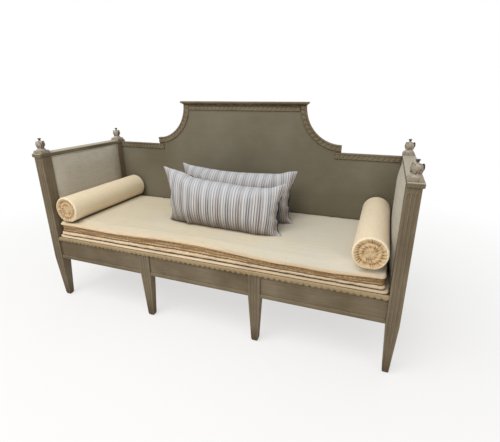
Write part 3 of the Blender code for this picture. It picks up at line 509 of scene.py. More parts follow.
RAIL_COATS = {"coat": "#84704f", "chalk": "#947f60", "thin": "#6f5c40"}
FINISHES = (
    # Plain paint: grime with painted shade in quirks and flutes.
    AgedPaint("aged_paint_along_x", Grain.ALONG_X, "#61543d"),
    AgedPaint("aged_paint_along_y", Grain.ALONG_Y, "#64573f"),
    AgedPaint("aged_paint_along_z", Grain.ALONG_Z, "#6a5c48"),
    AgedPaint("aged_paint_back_panel", Grain.ALONG_X, coat="#68614e", chalk="#787160", thin="#5d5642",
              streaks=0.16, patch_mm=420.0),
    # Arm tops: paler where they face up, partly rubbed and partly a painted highlight.
    AgedPaint("rubbed_paint_arm_tops", Grain.ALONG_Y, rubbed_and_highlight="#aba393", top_wear_and_highlight=0.95),
    # Crest moulding: its top strip is darkened as painted shadow under the cornice, with grime in its quirks.
    AgedPaint("grimy_paint_crest", Grain.ALONG_X, grime_and_shade="#3d2f1c", dark_above=1.1515),
    # Cornice: its lower part is darkened as painted shadow.
    AgedPaint("grimy_paint_cornice", Grain.ALONG_X, grime_and_shade="#3d2f1c", dark_below=1.1710),
    # Finials: paler tops, partly rubbed and partly a painted highlight, with a dark tip and foot band.
    AgedPaint("rubbed_paint_finials", Grain.ALONG_Z, coat="#8b7f6e", chalk="#a2968a", thin="#55442c",
              rubbed_and_highlight="#b5aa9b", grime_and_shade="#2a1d10", top_wear_and_highlight=0.5, streaks=0.75, stroke_mm=11.0, stroke_run=3.0,
              dark_above=0.985, dark_below=0.8765),
    # Petals: dark rims, partly grime and partly painted shade, and pale ridges, partly rubbed and partly
    # painted highlights.
    AgedPaint("rubbed_paint_petals", Grain.ALONG_Z, coat="#8c7f6f", chalk="#9b8f80", thin="#553f22",
              rubbed_and_highlight="#c9bfb1", grime_and_shade="#36240f", streaks=0.8, stroke_mm=10.0, stroke_run=2.5, rim_grime_and_shade=1.0,
              ridge_wear_and_highlight=0.8),
    # Back carving: a little grime and painted shade round each leaf.
    AgedPaint("aged_paint_carving", Grain.ALONG_X, coat="#696049", chalk="#756c57", rim_grime_and_shade=0.16,
              ridge_wear_and_highlight=0.05),
    # Seat rail moulding: a paler upper slope, partly rubbed and partly a painted highlight, and dark dashes
    # along its lower part as painted shade under the carving.
    AgedPaint("rubbed_paint_rail_moulding", Grain.ALONG_X, **RAIL_COATS, rubbed_and_highlight="#c7ae88", top_wear_and_highlight=0.9,
              quirk_grime_and_shade=0.15, dark_below=0.3985),
    # Seat rail carving: paler ridges and tops, partly rubbed and partly painted highlights, and a little
    # painted shade round each tongue.
    AgedPaint("rubbed_paint_rail_carving", Grain.ALONG_X, **RAIL_COATS, rubbed_and_highlight="#b09c79", rim_grime_and_shade=0.06,
              ridge_wear_and_highlight=0.15, top_wear_and_highlight=0.5, quirk_grime_and_shade=0.3),
    *(BarePine("bare_pine_" + grain.name.lower(), grain) for grain in Grain),
    Linen("grey_linen", "#bcb5a5", "#958d7d", "#6b6352"),
    # Deck: its fold colour paints the dark shade in the gap under the mattress.
    Linen("deck_linen", "#ddc8a9", "#c6ae88", "#38230c", fold_start=0.7, fold_full=0.35, faded="#bea88a"),
    # Mattress face: its fold colour paints the contact shade under the pillows and bolsters.
    Linen("mattress_linen", "#d5c9af", "#c2b596", "#57411f", fold_depth=0.022, stripe_mm=34.0,
          faded="#cdc8ba"),
    # Mattress rolls: a brighter, warmer copy of the mattress linen, partly a painted highlight on the upper
    # roll's lip; its fold colour paints the dark gap lines.
    Linen("mattress_roll_linen", "#e0c8a6", "#c9ac82", "#38230c", fold_depth=0.018, fold_start=0.92,
          fold_full=0.62, faded="#c6b193"),
    # Mattress border: a darker, warmer copy of the mattress linen, partly its own tone and partly painted
    # shade of the sunk border.
    Linen("mattress_border_linen", "#a3825a", "#6c4e2b", "#563c1f", fold_depth=0.020, fold_start=0.95,
          slub_mm=6.0, slub_run=40.0, streaks=1.0, stripe_mm=17.0, stripe="#e0c49c", stripe_share=0.85),
    Linen("bolster_linen", "#ebdabb", "#d5c3a0", "#b58650", fold_depth=0.010, fold_start=0.92),
    # Gathered bolster ends: a darker copy of the bolster linen, as painted shade in the gathers.
    Linen("bolster_gather_linen", "#d2b68d", "#b9986c", "#6f4a22", fold_depth=0.012, fold_start=0.97,
          fold_full=0.42),
    StripedCotton("striped_cotton"),
    Linen("navy_cotton", "#171f2b", "#121922", "#0c1016", thread_mm=2.2),
    Linen("jute_webbing", "#a98a5b", "#80653e", "#5b462a", thread_mm=3.0),
)


class Surface:
    """Grows one closed mesh from patches of quads that carry cloth coordinates in metres."""

    def __init__(self) -> None:
        """Start with no points and no patches."""
        self.count = 0
        self.points: list[np.ndarray] = []
        self.quads: list[np.ndarray] = []
        self.maps: list[np.ndarray] = []
        self.slots: list[np.ndarray] = []

    def add_points(self, points: np.ndarray) -> np.ndarray:
        """Add points.

        Args:
            points: Array whose last axis holds X, Y and Z.

        Returns:
            Their numbers, in the array's shape without its last axis.
        """
        flat = points.reshape(-1, 3)
        numbers = np.arange(self.count, self.count + len(flat)).reshape(points.shape[:-1])
        self.points.append(flat)
        self.count += len(flat)
        return numbers

    def add_patch(self, numbers: np.ndarray, cloth: np.ndarray, slot: int | np.ndarray = 0,
                  flip: bool = False) -> None:
        """Add a patch of quads over a grid of points.

        Args:
            numbers: Point numbers, one row of the grid after another.
            cloth: Cloth coordinates of the same grid.
            slot: Material slot of the patch, or one for each of its quads.
            flip: Turn the faces over.
        """
        near, far = slice(None, -1), slice(1, None)
        corners = [(near, near), (near, far), (far, far), (far, near)]
        order = corners[::-1] if flip else corners
        self.quads.append(np.stack([numbers[c] for c in order], axis=-1).reshape(-1, 4))
        self.maps.append(np.stack([cloth[c] for c in order], axis=-2).reshape(-1, 4, 2))
        self.slots.append(np.broadcast_to(np.ravel(slot), len(self.quads[-1])))

    def finish(self, name: str, materials: Sequence[Material]) -> Object:
        """Make the object.

        Args:
            name: The piece's name.
            materials: One for each slot.

        Returns:
            The piece, smooth, with its faces outwards, linked to the scene.
        """
        mesh = bpy.data.meshes.new(name)
        quads = np.concatenate(self.quads)
        mesh.from_pydata(np.concatenate(self.points).tolist(), [], quads.tolist())
        layer = mesh.uv_layers.new(name=CLOTH_MAP)
        layer.data.foreach_set("uv", np.concatenate(self.maps).astype(np.float32).ravel())
        for material in materials:
            mesh.materials.append(material)
        mesh.polygons.foreach_set("material_index", np.concatenate(self.slots).astype(np.int32))
        mesh.polygons.foreach_set("use_smooth", np.ones(len(quads), bool))
        mesh.update()
        face_outwards(mesh)
        return add_object(name, mesh)


def face_outwards(mesh: Mesh) -> None:
    """Turn a closed mesh's faces over if they point inwards.

    Args:
        mesh: Mesh to put right.
    """
    shape = bmesh.new()
    shape.from_mesh(mesh)
    if shape.calc_volume(signed=True) < 0:
        bmesh.ops.reverse_faces(shape, faces=shape.faces)
        shape.to_mesh(mesh)
    shape.free()


def coordinates(mesh: Mesh) -> np.ndarray:
    """Points of a mesh as an array of rows."""
    mesh.vertices.foreach_get("co", flat := np.empty(len(mesh.vertices) * 3, np.float32))
    return flat.reshape(-1, 3).astype(float)


def set_coordinates(mesh: Mesh, points: np.ndarray) -> None:
    """Move a mesh's points to new places."""
    mesh.vertices.foreach_set("co", points.astype(np.float32).ravel())
    mesh.update()


def waviness(points: np.ndarray, length: float, shift: float) -> np.ndarray:
    """Smooth noise at points, from about -1 to 1.

    Args:
        points: Rows of X, Y and Z.
        length: Distance over which the noise changes.
        shift: Moves the pattern, so that two pieces differ.

    Returns:
        One value for each point.
    """
    offset = Vector((shift, shift * 0.37, shift * 1.73))
    return np.array([noise.noise(Vector(p) / length + offset) for p in points])


def soft_floor(heights: np.ndarray, floor: float, ease: float) -> np.ndarray:
    """Keep heights above a floor, bending smoothly into it over the distance ease."""
    return floor + ease * np.logaddexp(0, (heights - floor) / ease)


def within(distance: np.ndarray, edge: float, run: float) -> np.ndarray:
    """Share that falls to 0 at an edge, from 1 at the distance run before it."""
    return np.clip((edge - distance) / run, 0, 1)


def evened(places: np.ndarray, line: Sequence[np.ndarray], reach: float, count: int) -> np.ndarray:
    """Heights of a bent line at places, each a mean of count samples within reach of its place."""
    return np.mean([np.interp(places + step, *line) for step in np.linspace(-reach, reach, count)], axis=0)


@dataclass(frozen=True)
class Stuffing:
    """Blows a sewn cover up from inside with a cloth simulation, as stuffing does.

    The cover is held where it is sewn or tacked. Slack is cloth beyond the drawn shape, which is what
    puckers beside a seam, and reach is the furthest that any point may move.
    """

    pressure: float
    slack: float
    reach: float
    frames: int = 20
    stiffness: float = 15.0
    bending: float = 0.5

    def fill(self, piece: Object, held: np.ndarray) -> None:
        """Run the simulation and keep its shape.

        Args:
            piece: Cover to blow up, at the origin.
            held: How far each point is held, from 0 to 1.
        """
        group = piece.vertex_groups.new(name="held")
        for number in np.flatnonzero(held > 0):
            group.add([int(number)], float(held[number]), "REPLACE")
        modifier = piece.modifiers.new("stuffing", "CLOTH")
        settings = {"quality": 6, "mass": 0.2, "vertex_group_mass": group.name,
                    "tension_stiffness": self.stiffness, "compression_stiffness": self.stiffness,
                    "bending_stiffness": self.bending, "shrink_min": -self.slack, "use_pressure": True,
                    "uniform_pressure_force": self.pressure}
        for key, value in settings.items():
            setattr(modifier.settings, key, value)
        modifier.settings.effector_weights.gravity = 0
        modifier.point_cache.frame_start = 1
        modifier.point_cache.frame_end = self.frames
        for frame in range(1, self.frames + 1):
            bpy.context.scene.frame_set(frame)
        blown = piece.evaluated_get(bpy.context.evaluated_depsgraph_get())
        rest, moved = coordinates(piece.data), coordinates(blown.data)
        piece.modifiers.remove(modifier)
        piece.vertex_groups.remove(group)
        bpy.context.scene.frame_set(1)
        step = moved - rest
        length = np.linalg.norm(step, axis=1, keepdims=True)
        set_coordinates(piece.data, rest + step * np.minimum(1, self.reach / np.maximum(length, TINY)))


def soften(piece: Object, rounds: int, share: float = 0.5) -> None:
    """Even out the smallest creases of a mesh.

    Args:
        piece: Piece to smooth.
        rounds: How many times each point moves towards its neighbours.
        share: How far it moves each time.
    """
    mesh = piece.data
    ends = np.empty(len(mesh.edges) * 2, np.int32)
    mesh.edges.foreach_get("vertices", ends)
    ends = ends.reshape(-1, 2)
    points = coordinates(mesh)
    degree = np.bincount(ends.ravel(), minlength=len(points))[:, None]
    for _ in range(rounds):
        total = np.zeros_like(points)
        np.add.at(total, ends[:, 0], points[ends[:, 1]])
        np.add.at(total, ends[:, 1], points[ends[:, 0]])
        points += share * (total / degree - points)
    set_coordinates(mesh, points)


def subdivide(piece: Object) -> None:
    """Put one live subdivision on a piece, the same in view and in render."""
    modifier = piece.modifiers.new("smooth_cloth", "SUBSURF")
    modifier.levels = modifier.render_levels = 1


def settle(piece: Object, body: str, slot: str, *nodes: str, fill: float | None = None) -> None:
    """Put a finished piece on its body, hide the CAD nodes that it replaces, and log its faces.

    Args:
        piece: The finished piece.
        body: CAD body that it moves with.
        slot: Material slot of the record. Not used.
        nodes: CAD nodes that it replaces.
        fill: How full a stuffed piece is, or None for a piece that isn't stuffed. Not used.
    """
    if nodes:
        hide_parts(*nodes)
    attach(piece, body)
    LOG.info("%s: %d faces on %s", piece.name, len(piece.data.polygons), body)


class PathTree:
    """A Geometry Nodes tree that makes a piece along paths of mesh edges."""

    name = "path"
    sizes: tuple[str, ...] = ()

    def __init__(self) -> None:
        """Make the tree and its named inputs, and wire it."""
        self.tree = bpy.data.node_groups.new(self.name, "GeometryNodeTree")
        self.tree.is_modifier = True
        sockets = self.tree.interface
        sockets.new_socket("Path", in_out="INPUT", socket_type="NodeSocketGeometry")
        kinds = {label: "NodeSocketInt" if label == "Seed" else "NodeSocketFloat" for label in self.sizes}
        self.keys = {label: sockets.new_socket(label, in_out="INPUT", socket_type=kind).identifier
                     for label, kind in {**kinds, "Finish": "NodeSocketMaterial"}.items()}
        sockets.new_socket("Piece", in_out="OUTPUT", socket_type="NodeSocketGeometry")
        self.given = add_node(self.tree, "NodeGroupInput").node.outputs
        made = self.wire(add_node(self.tree, "GeometryNodeMeshToCurve", {"Mesh": self.given["Path"]}))
        whole = add_node(self.tree, "GeometryNodeRealizeInstances", {"Geometry": made})
        smooth = add_node(self.tree, "GeometryNodeSetShadeSmooth", {"Geometry": whole})
        dressed = add_node(self.tree, "GeometryNodeSetMaterial",
                           {"Geometry": smooth, "Material": self.given["Finish"]})
        add_node(self.tree, "NodeGroupOutput", {"Piece": dressed})

    def wire(self, curve: NodeSocket) -> NodeSocket:
        """Build the part of the tree that turns the path's curve into geometry.

        Args:
            curve: The path as a curve.

        Returns:
            The geometry's socket.
        """
        raise NotImplementedError

    def grow(self, name: str, paths: Sequence[np.ndarray], finish: Material, **sizes: float) -> Object:
        """Run the tree along paths and keep the result as a plain mesh.

        Args:
            name: The piece's name.
            paths: Rows of points, one array for each path.
            finish: Material of the piece.
            sizes: Value of each named input.

        Returns:
            The piece, linked to the scene.
        """
        ends = np.cumsum([0] + [len(path) for path in paths])
        edges = [(i, i + 1) for first, last in zip(ends[:-1], ends[1:]) for i in range(first, last - 1)]
        line = bpy.data.meshes.new(name + "_path")
        line.from_pydata(np.concatenate(paths).tolist(), edges, [])
        carrier = add_object(name + "_path", line)
        modifier = carrier.modifiers.new(self.name, "NODES")
        modifier.node_group = self.tree
        for label, value in {**sizes, "Finish": finish}.items():
            modifier[self.keys[label]] = value
        grown = bpy.data.meshes.new_from_object(carrier.evaluated_get(bpy.context.evaluated_depsgraph_get()))
        carrier.modifiers.remove(modifier)
        bpy.data.objects.remove(carrier)
        grown.name = name
        return add_object(name, grown)


class LeafBand(PathTree):
    """Carved leaves set along a moulding, each a little different, as a carver's are."""

    name = "carved_leaf_band"
    sizes = ("Spacing", "Length", "Width", "Height", "Turn", "Tilt", "Seed")

    def wire(self, curve: NodeSocket) -> NodeSocket:
        """Set a pointed, veined leaf at even steps along the curve.

        Args:
            curve: The moulding's run.

        Returns:
            The leaves as instances.
        """
        tree, given = self.tree, self.given
        steps = add_node(tree, "GeometryNodeResampleCurve", {"Curve": curve, "Length": given["Spacing"]},
                         mode="LENGTH")
        tangent = add_node(tree, "GeometryNodeInputTangent")
        upright = add_node(tree, MATH, {0: math.pi / 2, 1: given["Tilt"]}, operation="SUBTRACT")
        outward = add_node(tree, "FunctionNodeAxisAngleToRotation", {"Axis": (1, 0, 0), "Angle": upright})
        along = add_node(tree, "FunctionNodeAlignRotationToVector", {"Rotation": outward, "Vector": tangent},
                         axis="X")
        spread = add_node(tree, "FunctionNodeRandomValue", {2: -0.06, 3: 0.06, "Seed": given["Seed"]}, 1,
                          data_type="FLOAT")
        angle = add_node(tree, MATH, {0: given["Turn"], 1: spread}, operation="ADD")
        turn = add_node(tree, "FunctionNodeAxisAngleToRotation", {"Axis": (0, 0, 1), "Angle": angle})
        facing = add_node(tree, "FunctionNodeRotateRotation", {"Rotation": along, "Rotate By": turn},
                          rotation_space="LOCAL")
        scale = add_node(tree, MATH, {0: spread, 1: 1.0}, operation="ADD")
        return add_node(tree, "GeometryNodeInstanceOnPoints",
                        {"Points": steps, "Instance": self.leaf(), "Rotation": facing, "Scale": scale})

    def leaf(self) -> NodeSocket:
        """One leaf, long in X and raised in Z: a ball drawn to points, with a sunk vein.

        Its relief, from its foot to its ridge, is stored for the paint.

        Returns:
            The leaf's geometry.
        """
        tree, given = self.tree, self.given
        ball = add_node(tree, "GeometryNodeMeshUVSphere", {"Segments": 12, "Rings": 8, "Radius": 1.0})
        navy_edges_and_shade_lines = add_node(tree, "GeometryNodeTransform", {"Geometry": ball, "Rotation": (0, math.pi / 2, 0)})
        place = add_node(tree, "GeometryNodeInputPosition")
        x, y, z = add_node(tree, SPLIT, {0: place}).node.outputs
        marked = add_node(tree, "GeometryNodeStoreNamedAttribute",
                          {"Geometry": navy_edges_and_shade_lines, "Name": RELIEF, "Value": z}, data_type="FLOAT", domain="POINT")
        far, wide = (add_node(tree, MATH, {0: axis}, operation="ABSOLUTE") for axis in (x, y))
        taper = add_node(tree, MATH, {0: far, 1: -0.25, 2: 1.0}, operation="MULTIPLY_ADD")
        vein = add_node(tree, MATH, {0: wide, 1: 0.5, 2: 0.62}, operation="MULTIPLY_ADD")
        length, width = (add_node(tree, MATH, {0: given[label], 1: 0.5}, operation="MULTIPLY")
                         for label in ("Length", "Width"))
        breadth = add_node(tree, MATH, {0: taper, 1: width}, operation="MULTIPLY")
        rise = add_node(tree, MATH, {0: vein, 1: given["Height"]}, operation="MULTIPLY")
        shape = add_node(tree, "ShaderNodeCombineXYZ", {0: length, 1: breadth, 2: rise})
        shaped = add_node(tree, "ShaderNodeVectorMath", {0: place, 1: shape}, operation="MULTIPLY")
        return add_node(tree, "GeometryNodeSetPosition", {"Geometry": marked, "Position": shaped})


class StitchLine(PathTree):
    """Short hand stitches laid end to end along a seam."""

    name = "hand_stitches"
    sizes = ("Spacing", "Length", "Radius", "Seed")

    def wire(self, curve: NodeSocket) -> NodeSocket:
        """Lay a short thread along the seam at even steps.

        Args:
            curve: The seam.

        Returns:
            The stitches as instances.
        """
        tree, given = self.tree, self.given
        steps = add_node(tree, "GeometryNodeResampleCurve", {"Curve": curve, "Length": given["Spacing"]},
                         mode="LENGTH")
        thread = add_node(tree, "GeometryNodeMeshCylinder",
                          {"Vertices": 6, "Radius": given["Radius"], "Depth": given["Length"]})
        tangent = add_node(tree, "GeometryNodeInputTangent")
        along = add_node(tree, "FunctionNodeAlignRotationToVector", {"Vector": tangent}, axis="Z")
        spread = add_node(tree, "FunctionNodeRandomValue", {2: 0.85, 3: 1.1, "Seed": given["Seed"]}, 1,
                          data_type="FLOAT")
        return add_node(tree, "GeometryNodeInstanceOnPoints",
                        {"Points": steps, "Instance": thread, "Rotation": along, "Scale": spread})


class Piping(PathTree):
    """A covered cord sewn into an edge."""

    name = "piping"
    sizes = ("Radius",)

    def wire(self, curve: NodeSocket) -> NodeSocket:
        """Sweep a round section along the edge.

        Args:
            curve: The edge.

        Returns:
            The cord's mesh.
        """
        section = add_node(self.tree, "GeometryNodeCurvePrimitiveCircle",
                           {"Resolution": 8, "Radius": self.given["Radius"]})
        return add_node(self.tree, "GeometryNodeCurveToMesh",
                        {"Curve": curve, "Profile Curve": section, "Fill Caps": True})


class WovenBand(PathTree):
    """Flat webbing bands that follow their own over-and-under lines."""

    name = "webbing_bands"
    sizes = ("Width", "Thickness")

    def wire(self, curve: NodeSocket) -> NodeSocket:
        """Sweep a flat section along the line, level across its width.

        Args:
            curve: Middle line of the bands.

        Returns:
            The bands' mesh.
        """
        level = add_node(self.tree, "GeometryNodeSetCurveNormal", {"Curve": curve}, mode="Z_UP")
        section = add_node(self.tree, "GeometryNodeCurvePrimitiveQuadrilateral",
                           {"Width": self.given["Width"], "Height": self.given["Thickness"]})
        return add_node(self.tree, "GeometryNodeCurveToMesh",
                        {"Curve": level, "Profile Curve": section, "Fill Caps": True})


@dataclass
class Woodwork:
    """The painted frame and the bare wood inside it, with the carving on its mouldings."""

    finishes: Finishes
    nodes: dict[str, Object]
    edge_round: float = 0.0011
    weld: float = 0.00002
    tongue: tuple[float, float, float] = (0.0225, 0.0330, 0.0042)
    tongue_spacing: float = 0.0285
    tongue_tilt: float = math.radians(16)
    tongue_sink: float = 0.0021
    tongue_lift: float = 0.0012
    leaf: tuple[float, float, float] = (0.0300, 0.0215, 0.0042)
    leaf_spacing: float = 0.0275
    moulding_width: float = 0.036
    crest_width: float = 0.031
    bed_share: float = 0.53
    bed_depth: float = 0.0050
    crest_gap: float = 0.012
    side_gap: float = 0.014
    shoulder_radius: float = 0.213
    shoulder_turn: tuple[float, float] = (0.05, math.pi / 2 - 0.04)
    petal: tuple[float, float, float] = (0.0400, 0.0240, 0.0052)
    petal_ring: float = 0.0185
    petals: int = 6
    first_petal: float = 0.2
    bud_below_tip: float = 0.0350

    BARE = ("arm_board", "back_batten", "corner_block", "seat_ledge", "seat_frame")
    UPRIGHT = ("post", "leg", "batten", "finial")
    SIDEWAYS = ("arm_rail", "left_seat_rail", "right_seat_rail", "arm_board", "cross_rail", "_end")
    SPECIAL = {"arm_rail": "rubbed_paint_arm_tops", "finial": "rubbed_paint_finials",
               "back_panel": "aged_paint_back_panel", "crest_moulding": "grimy_paint_crest",
               "crest_cornice": "grimy_paint_cornice", "front_rail_moulding": "rubbed_paint_rail_moulding"}

    def finish_of(self, name: str) -> Material:
        """Finish of a board, from its place in the frame.

        Args:
            name: The board's node.

        Returns:
            Its material.
        """
        for word, finish in self.SPECIAL.items():
            if name.endswith(word):
                return self.finishes[finish]
        upright, sideways, bare = (any(word in name for word in words)
                                   for words in (self.UPRIGHT, self.SIDEWAYS, self.BARE))
        grain = Grain.ALONG_Z if upright else Grain.ALONG_Y if sideways else Grain.ALONG_X
        return self.finishes[("bare_pine_" if bare else "aged_paint_") + grain.name.lower()]

    def dress(self, soft: Sequence[str]) -> None:
        """Give every wooden node its finish, and round its edges with live modifiers.

        Args:
            soft: Names of the nodes that soft pieces replace.
        """
        for name, node in self.nodes.items():
            if name in soft:
                continue
            node.data.materials.clear()
            node.data.materials.append(self.finish_of(name))
            node.modifiers.new("joined_faces", "WELD").merge_threshold = self.weld
            bevel = node.modifiers.new("eased_edges", "BEVEL")
            bevel.width = self.edge_round
            bevel.segments = 2
            bevel.limit_method = "ANGLE"
            bevel.angle_limit = math.radians(35)
            bevel.use_clamp_overlap = True
            bevel.harden_normals = True

    def carve(self) -> None:
        """Set carved tongues on the seat rail, leaves on the back's mouldings, and petals on the finials."""
        band = LeafBand()
        petal_spacing = 2 * math.pi * self.petal_ring / self.petals
        plans = (("front_rail_carving", self.rail_run(), "rubbed_paint_rail_carving", self.tongue,
                  self.tongue_spacing, LeafLay.ACROSS, self.tongue_tilt),
                 ("back_carving", self.back_runs(), "aged_paint_carving", self.leaf, self.leaf_spacing,
                  LeafLay.ROPED, 0.0),
                 ("finial_petals", self.petal_rings(), "rubbed_paint_petals", self.petal, petal_spacing,
                  LeafLay.SPIRAL, 0.0))
        for seed, (name, runs, finish, leaf, spacing, lay, tilt) in enumerate(plans):
            piece = band.grow(name, runs, self.finishes[finish], Spacing=spacing, Length=leaf[0],
                              Width=leaf[1], Height=leaf[2], Turn=lay.value, Tilt=tilt, Seed=seed)
            settle(piece, FRAME_BODY, "painted_wood")

    @staticmethod
    def level_run(node: str, gap: float, y: float, z: float) -> np.ndarray:
        """Straight line along X over a node, short of its ends by a gap."""
        low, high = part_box(node)
        return np.array([(low.x + gap, y, z), (high.x - gap, y, z)])

    def rail_run(self) -> list[np.ndarray]:
        """Middle line of the tongues on the seat rail.

        Returns:
            The one line.
        """
        low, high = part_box("front_rail_moulding")
        z = (low.z + high.z) / 2 + self.tongue_lift
        return [self.level_run("front_rail_moulding", self.tongue_spacing / 2, low.y + self.tongue_sink, z)]

    def back_runs(self) -> list[np.ndarray]:
        """Middle lines of the sunk beds in the back's mouldings.

        Returns:
            Lines of the crest, then of each side and each shoulder.
        """
        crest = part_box("crest_moulding")[1]
        bed = crest.y - self.bed_depth
        level = crest.z - self.crest_width * self.bed_share
        runs = [self.level_run("crest_moulding", self.crest_gap, bed, level)]
        turns = np.linspace(*self.shoulder_turn, 25)
        for label, side in SIDES:
            moulding = label + "_side_moulding"
            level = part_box(moulding)[1].z - self.moulding_width * self.bed_share
            runs.append(self.level_run(moulding, self.side_gap, bed, level))
            low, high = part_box(label + "_shoulder_moulding")
            centre = np.array((side * max(abs(low.x), abs(high.x)), bed, high.z))
            radius = self.shoulder_radius + self.moulding_width * self.bed_share
            arc = centre + radius * np.stack([-side * np.sin(turns), 0 * turns, -np.cos(turns)], axis=1)
            runs.append(arc[::-1] if side > 0 else arc)
        return runs

    def petal_rings(self) -> list[np.ndarray]:
        """A ring round the bud of each finial.

        Returns:
            The rings, each closed but for one petal's place.
        """
        last = self.first_petal + 2 * math.pi * (self.petals - 1) / self.petals
        turns = np.linspace(self.first_petal, last, 49)
        circle = self.petal_ring * np.stack([np.cos(turns), np.sin(turns), 0 * turns], axis=1)
        rings = []
        for name in sorted(node for node in self.nodes if node.endswith("_finial")):
            low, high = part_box(name)
            rings.append(circle + ((low.x + high.x) / 2, (low.y + high.y) / 2, high.z - self.bud_below_tip))
        return rings


def run_length(line: np.ndarray) -> np.ndarray:
    """Length along a line of points, at each of them."""
    return np.append(0, np.cumsum(np.linalg.norm(np.diff(line, axis=0), axis=1)))


@dataclass
class SeatPad:
    """A flat pad with rounded corners: a top, an edge drawn as a section, and a bottom."""

    half_x: float
    half_y: float
    corner: float
    step: float
    centre_y: float
    bottom: float

    def outline_grid(self, inset: float) -> np.ndarray:
        """Grid over the pad at some inset, its border bent round the corners.

        Args:
            inset: Distance in from the pad's outline.

        Returns:
            Array of rows of X and Y.
        """
        half = np.array((self.half_x - inset, self.half_y - inset))
        columns, rows = (max(2, round(2 * size / self.step)) for size in (self.half_x, self.half_y))
        spans = [np.linspace(-size, size, count + 1) for size, count in zip(half, (columns, rows))]
        points = np.stack(np.meshgrid(*spans), axis=-1)
        corner = self.corner * half[1] / self.half_y
        core = np.clip(points, -(half - corner), half - corner)
        out = points - core
        square, round_off = np.abs(out).max(axis=-1), np.linalg.norm(out, axis=-1)
        share = np.where(round_off > TINY, square / np.maximum(round_off, TINY), 1.0)
        return core + out * share[..., None]

    @staticmethod
    def border(grid: np.ndarray) -> np.ndarray:
        """Border of a grid, once round from its first corner and back to it."""
        return np.concatenate([grid[0, :-1], grid[:-1, -1], grid[-1, :0:-1], grid[::-1, 0]])

    def grow(self, name: str, section: Sequence[tuple[float, float, int]],
             materials: Sequence[Material]) -> tuple[Object, np.ndarray]:
        """Build the pad.

        Args:
            name: The piece's name.
            section: Edge as (inset, height, cloth above it), from the bottom to the top.
            materials: Cloths. The first one also covers the bottom.

        Returns:
            The pad and its edge's point numbers, one row for each height.
        """
        surface = Surface()
        base, top = (self.lift(self.outline_grid(section[i][0]), section[i][1]) for i in (0, -1))
        base_numbers, top_numbers = surface.add_points(base), surface.add_points(top)
        rings = [self.border(base_numbers)]
        for inset, height, _ in section[1:-1]:
            numbers = surface.add_points(self.lift(self.border(self.outline_grid(inset))[:-1], height))
            rings.append(np.append(numbers, numbers[0]))
        edge = np.array([*rings, self.border(top_numbers)])
        along, up = run_length(self.border(self.outline_grid(0))), run_length(np.array(section)[:, :2])
        cloth = np.stack(np.broadcast_arrays(along[None, :], up[:, None]), axis=-1)
        for row, (_, _, slot) in enumerate(section[:-1]):
            surface.add_patch(edge[row : row + 2], cloth[row : row + 2], slot)
        surface.add_patch(top_numbers, top[..., :2], section[-1][2])
        surface.add_patch(base_numbers, base[..., :2], 0, flip=True)
        return surface.finish(name, materials), edge

    def lift(self, flat: np.ndarray, height: float) -> np.ndarray:
        """Put flat points at a height over the pad's place."""
        level = np.full(flat.shape[:-1] + (1,), self.bottom + height)
        return np.concatenate([flat + (0, self.centre_y), level], axis=-1)


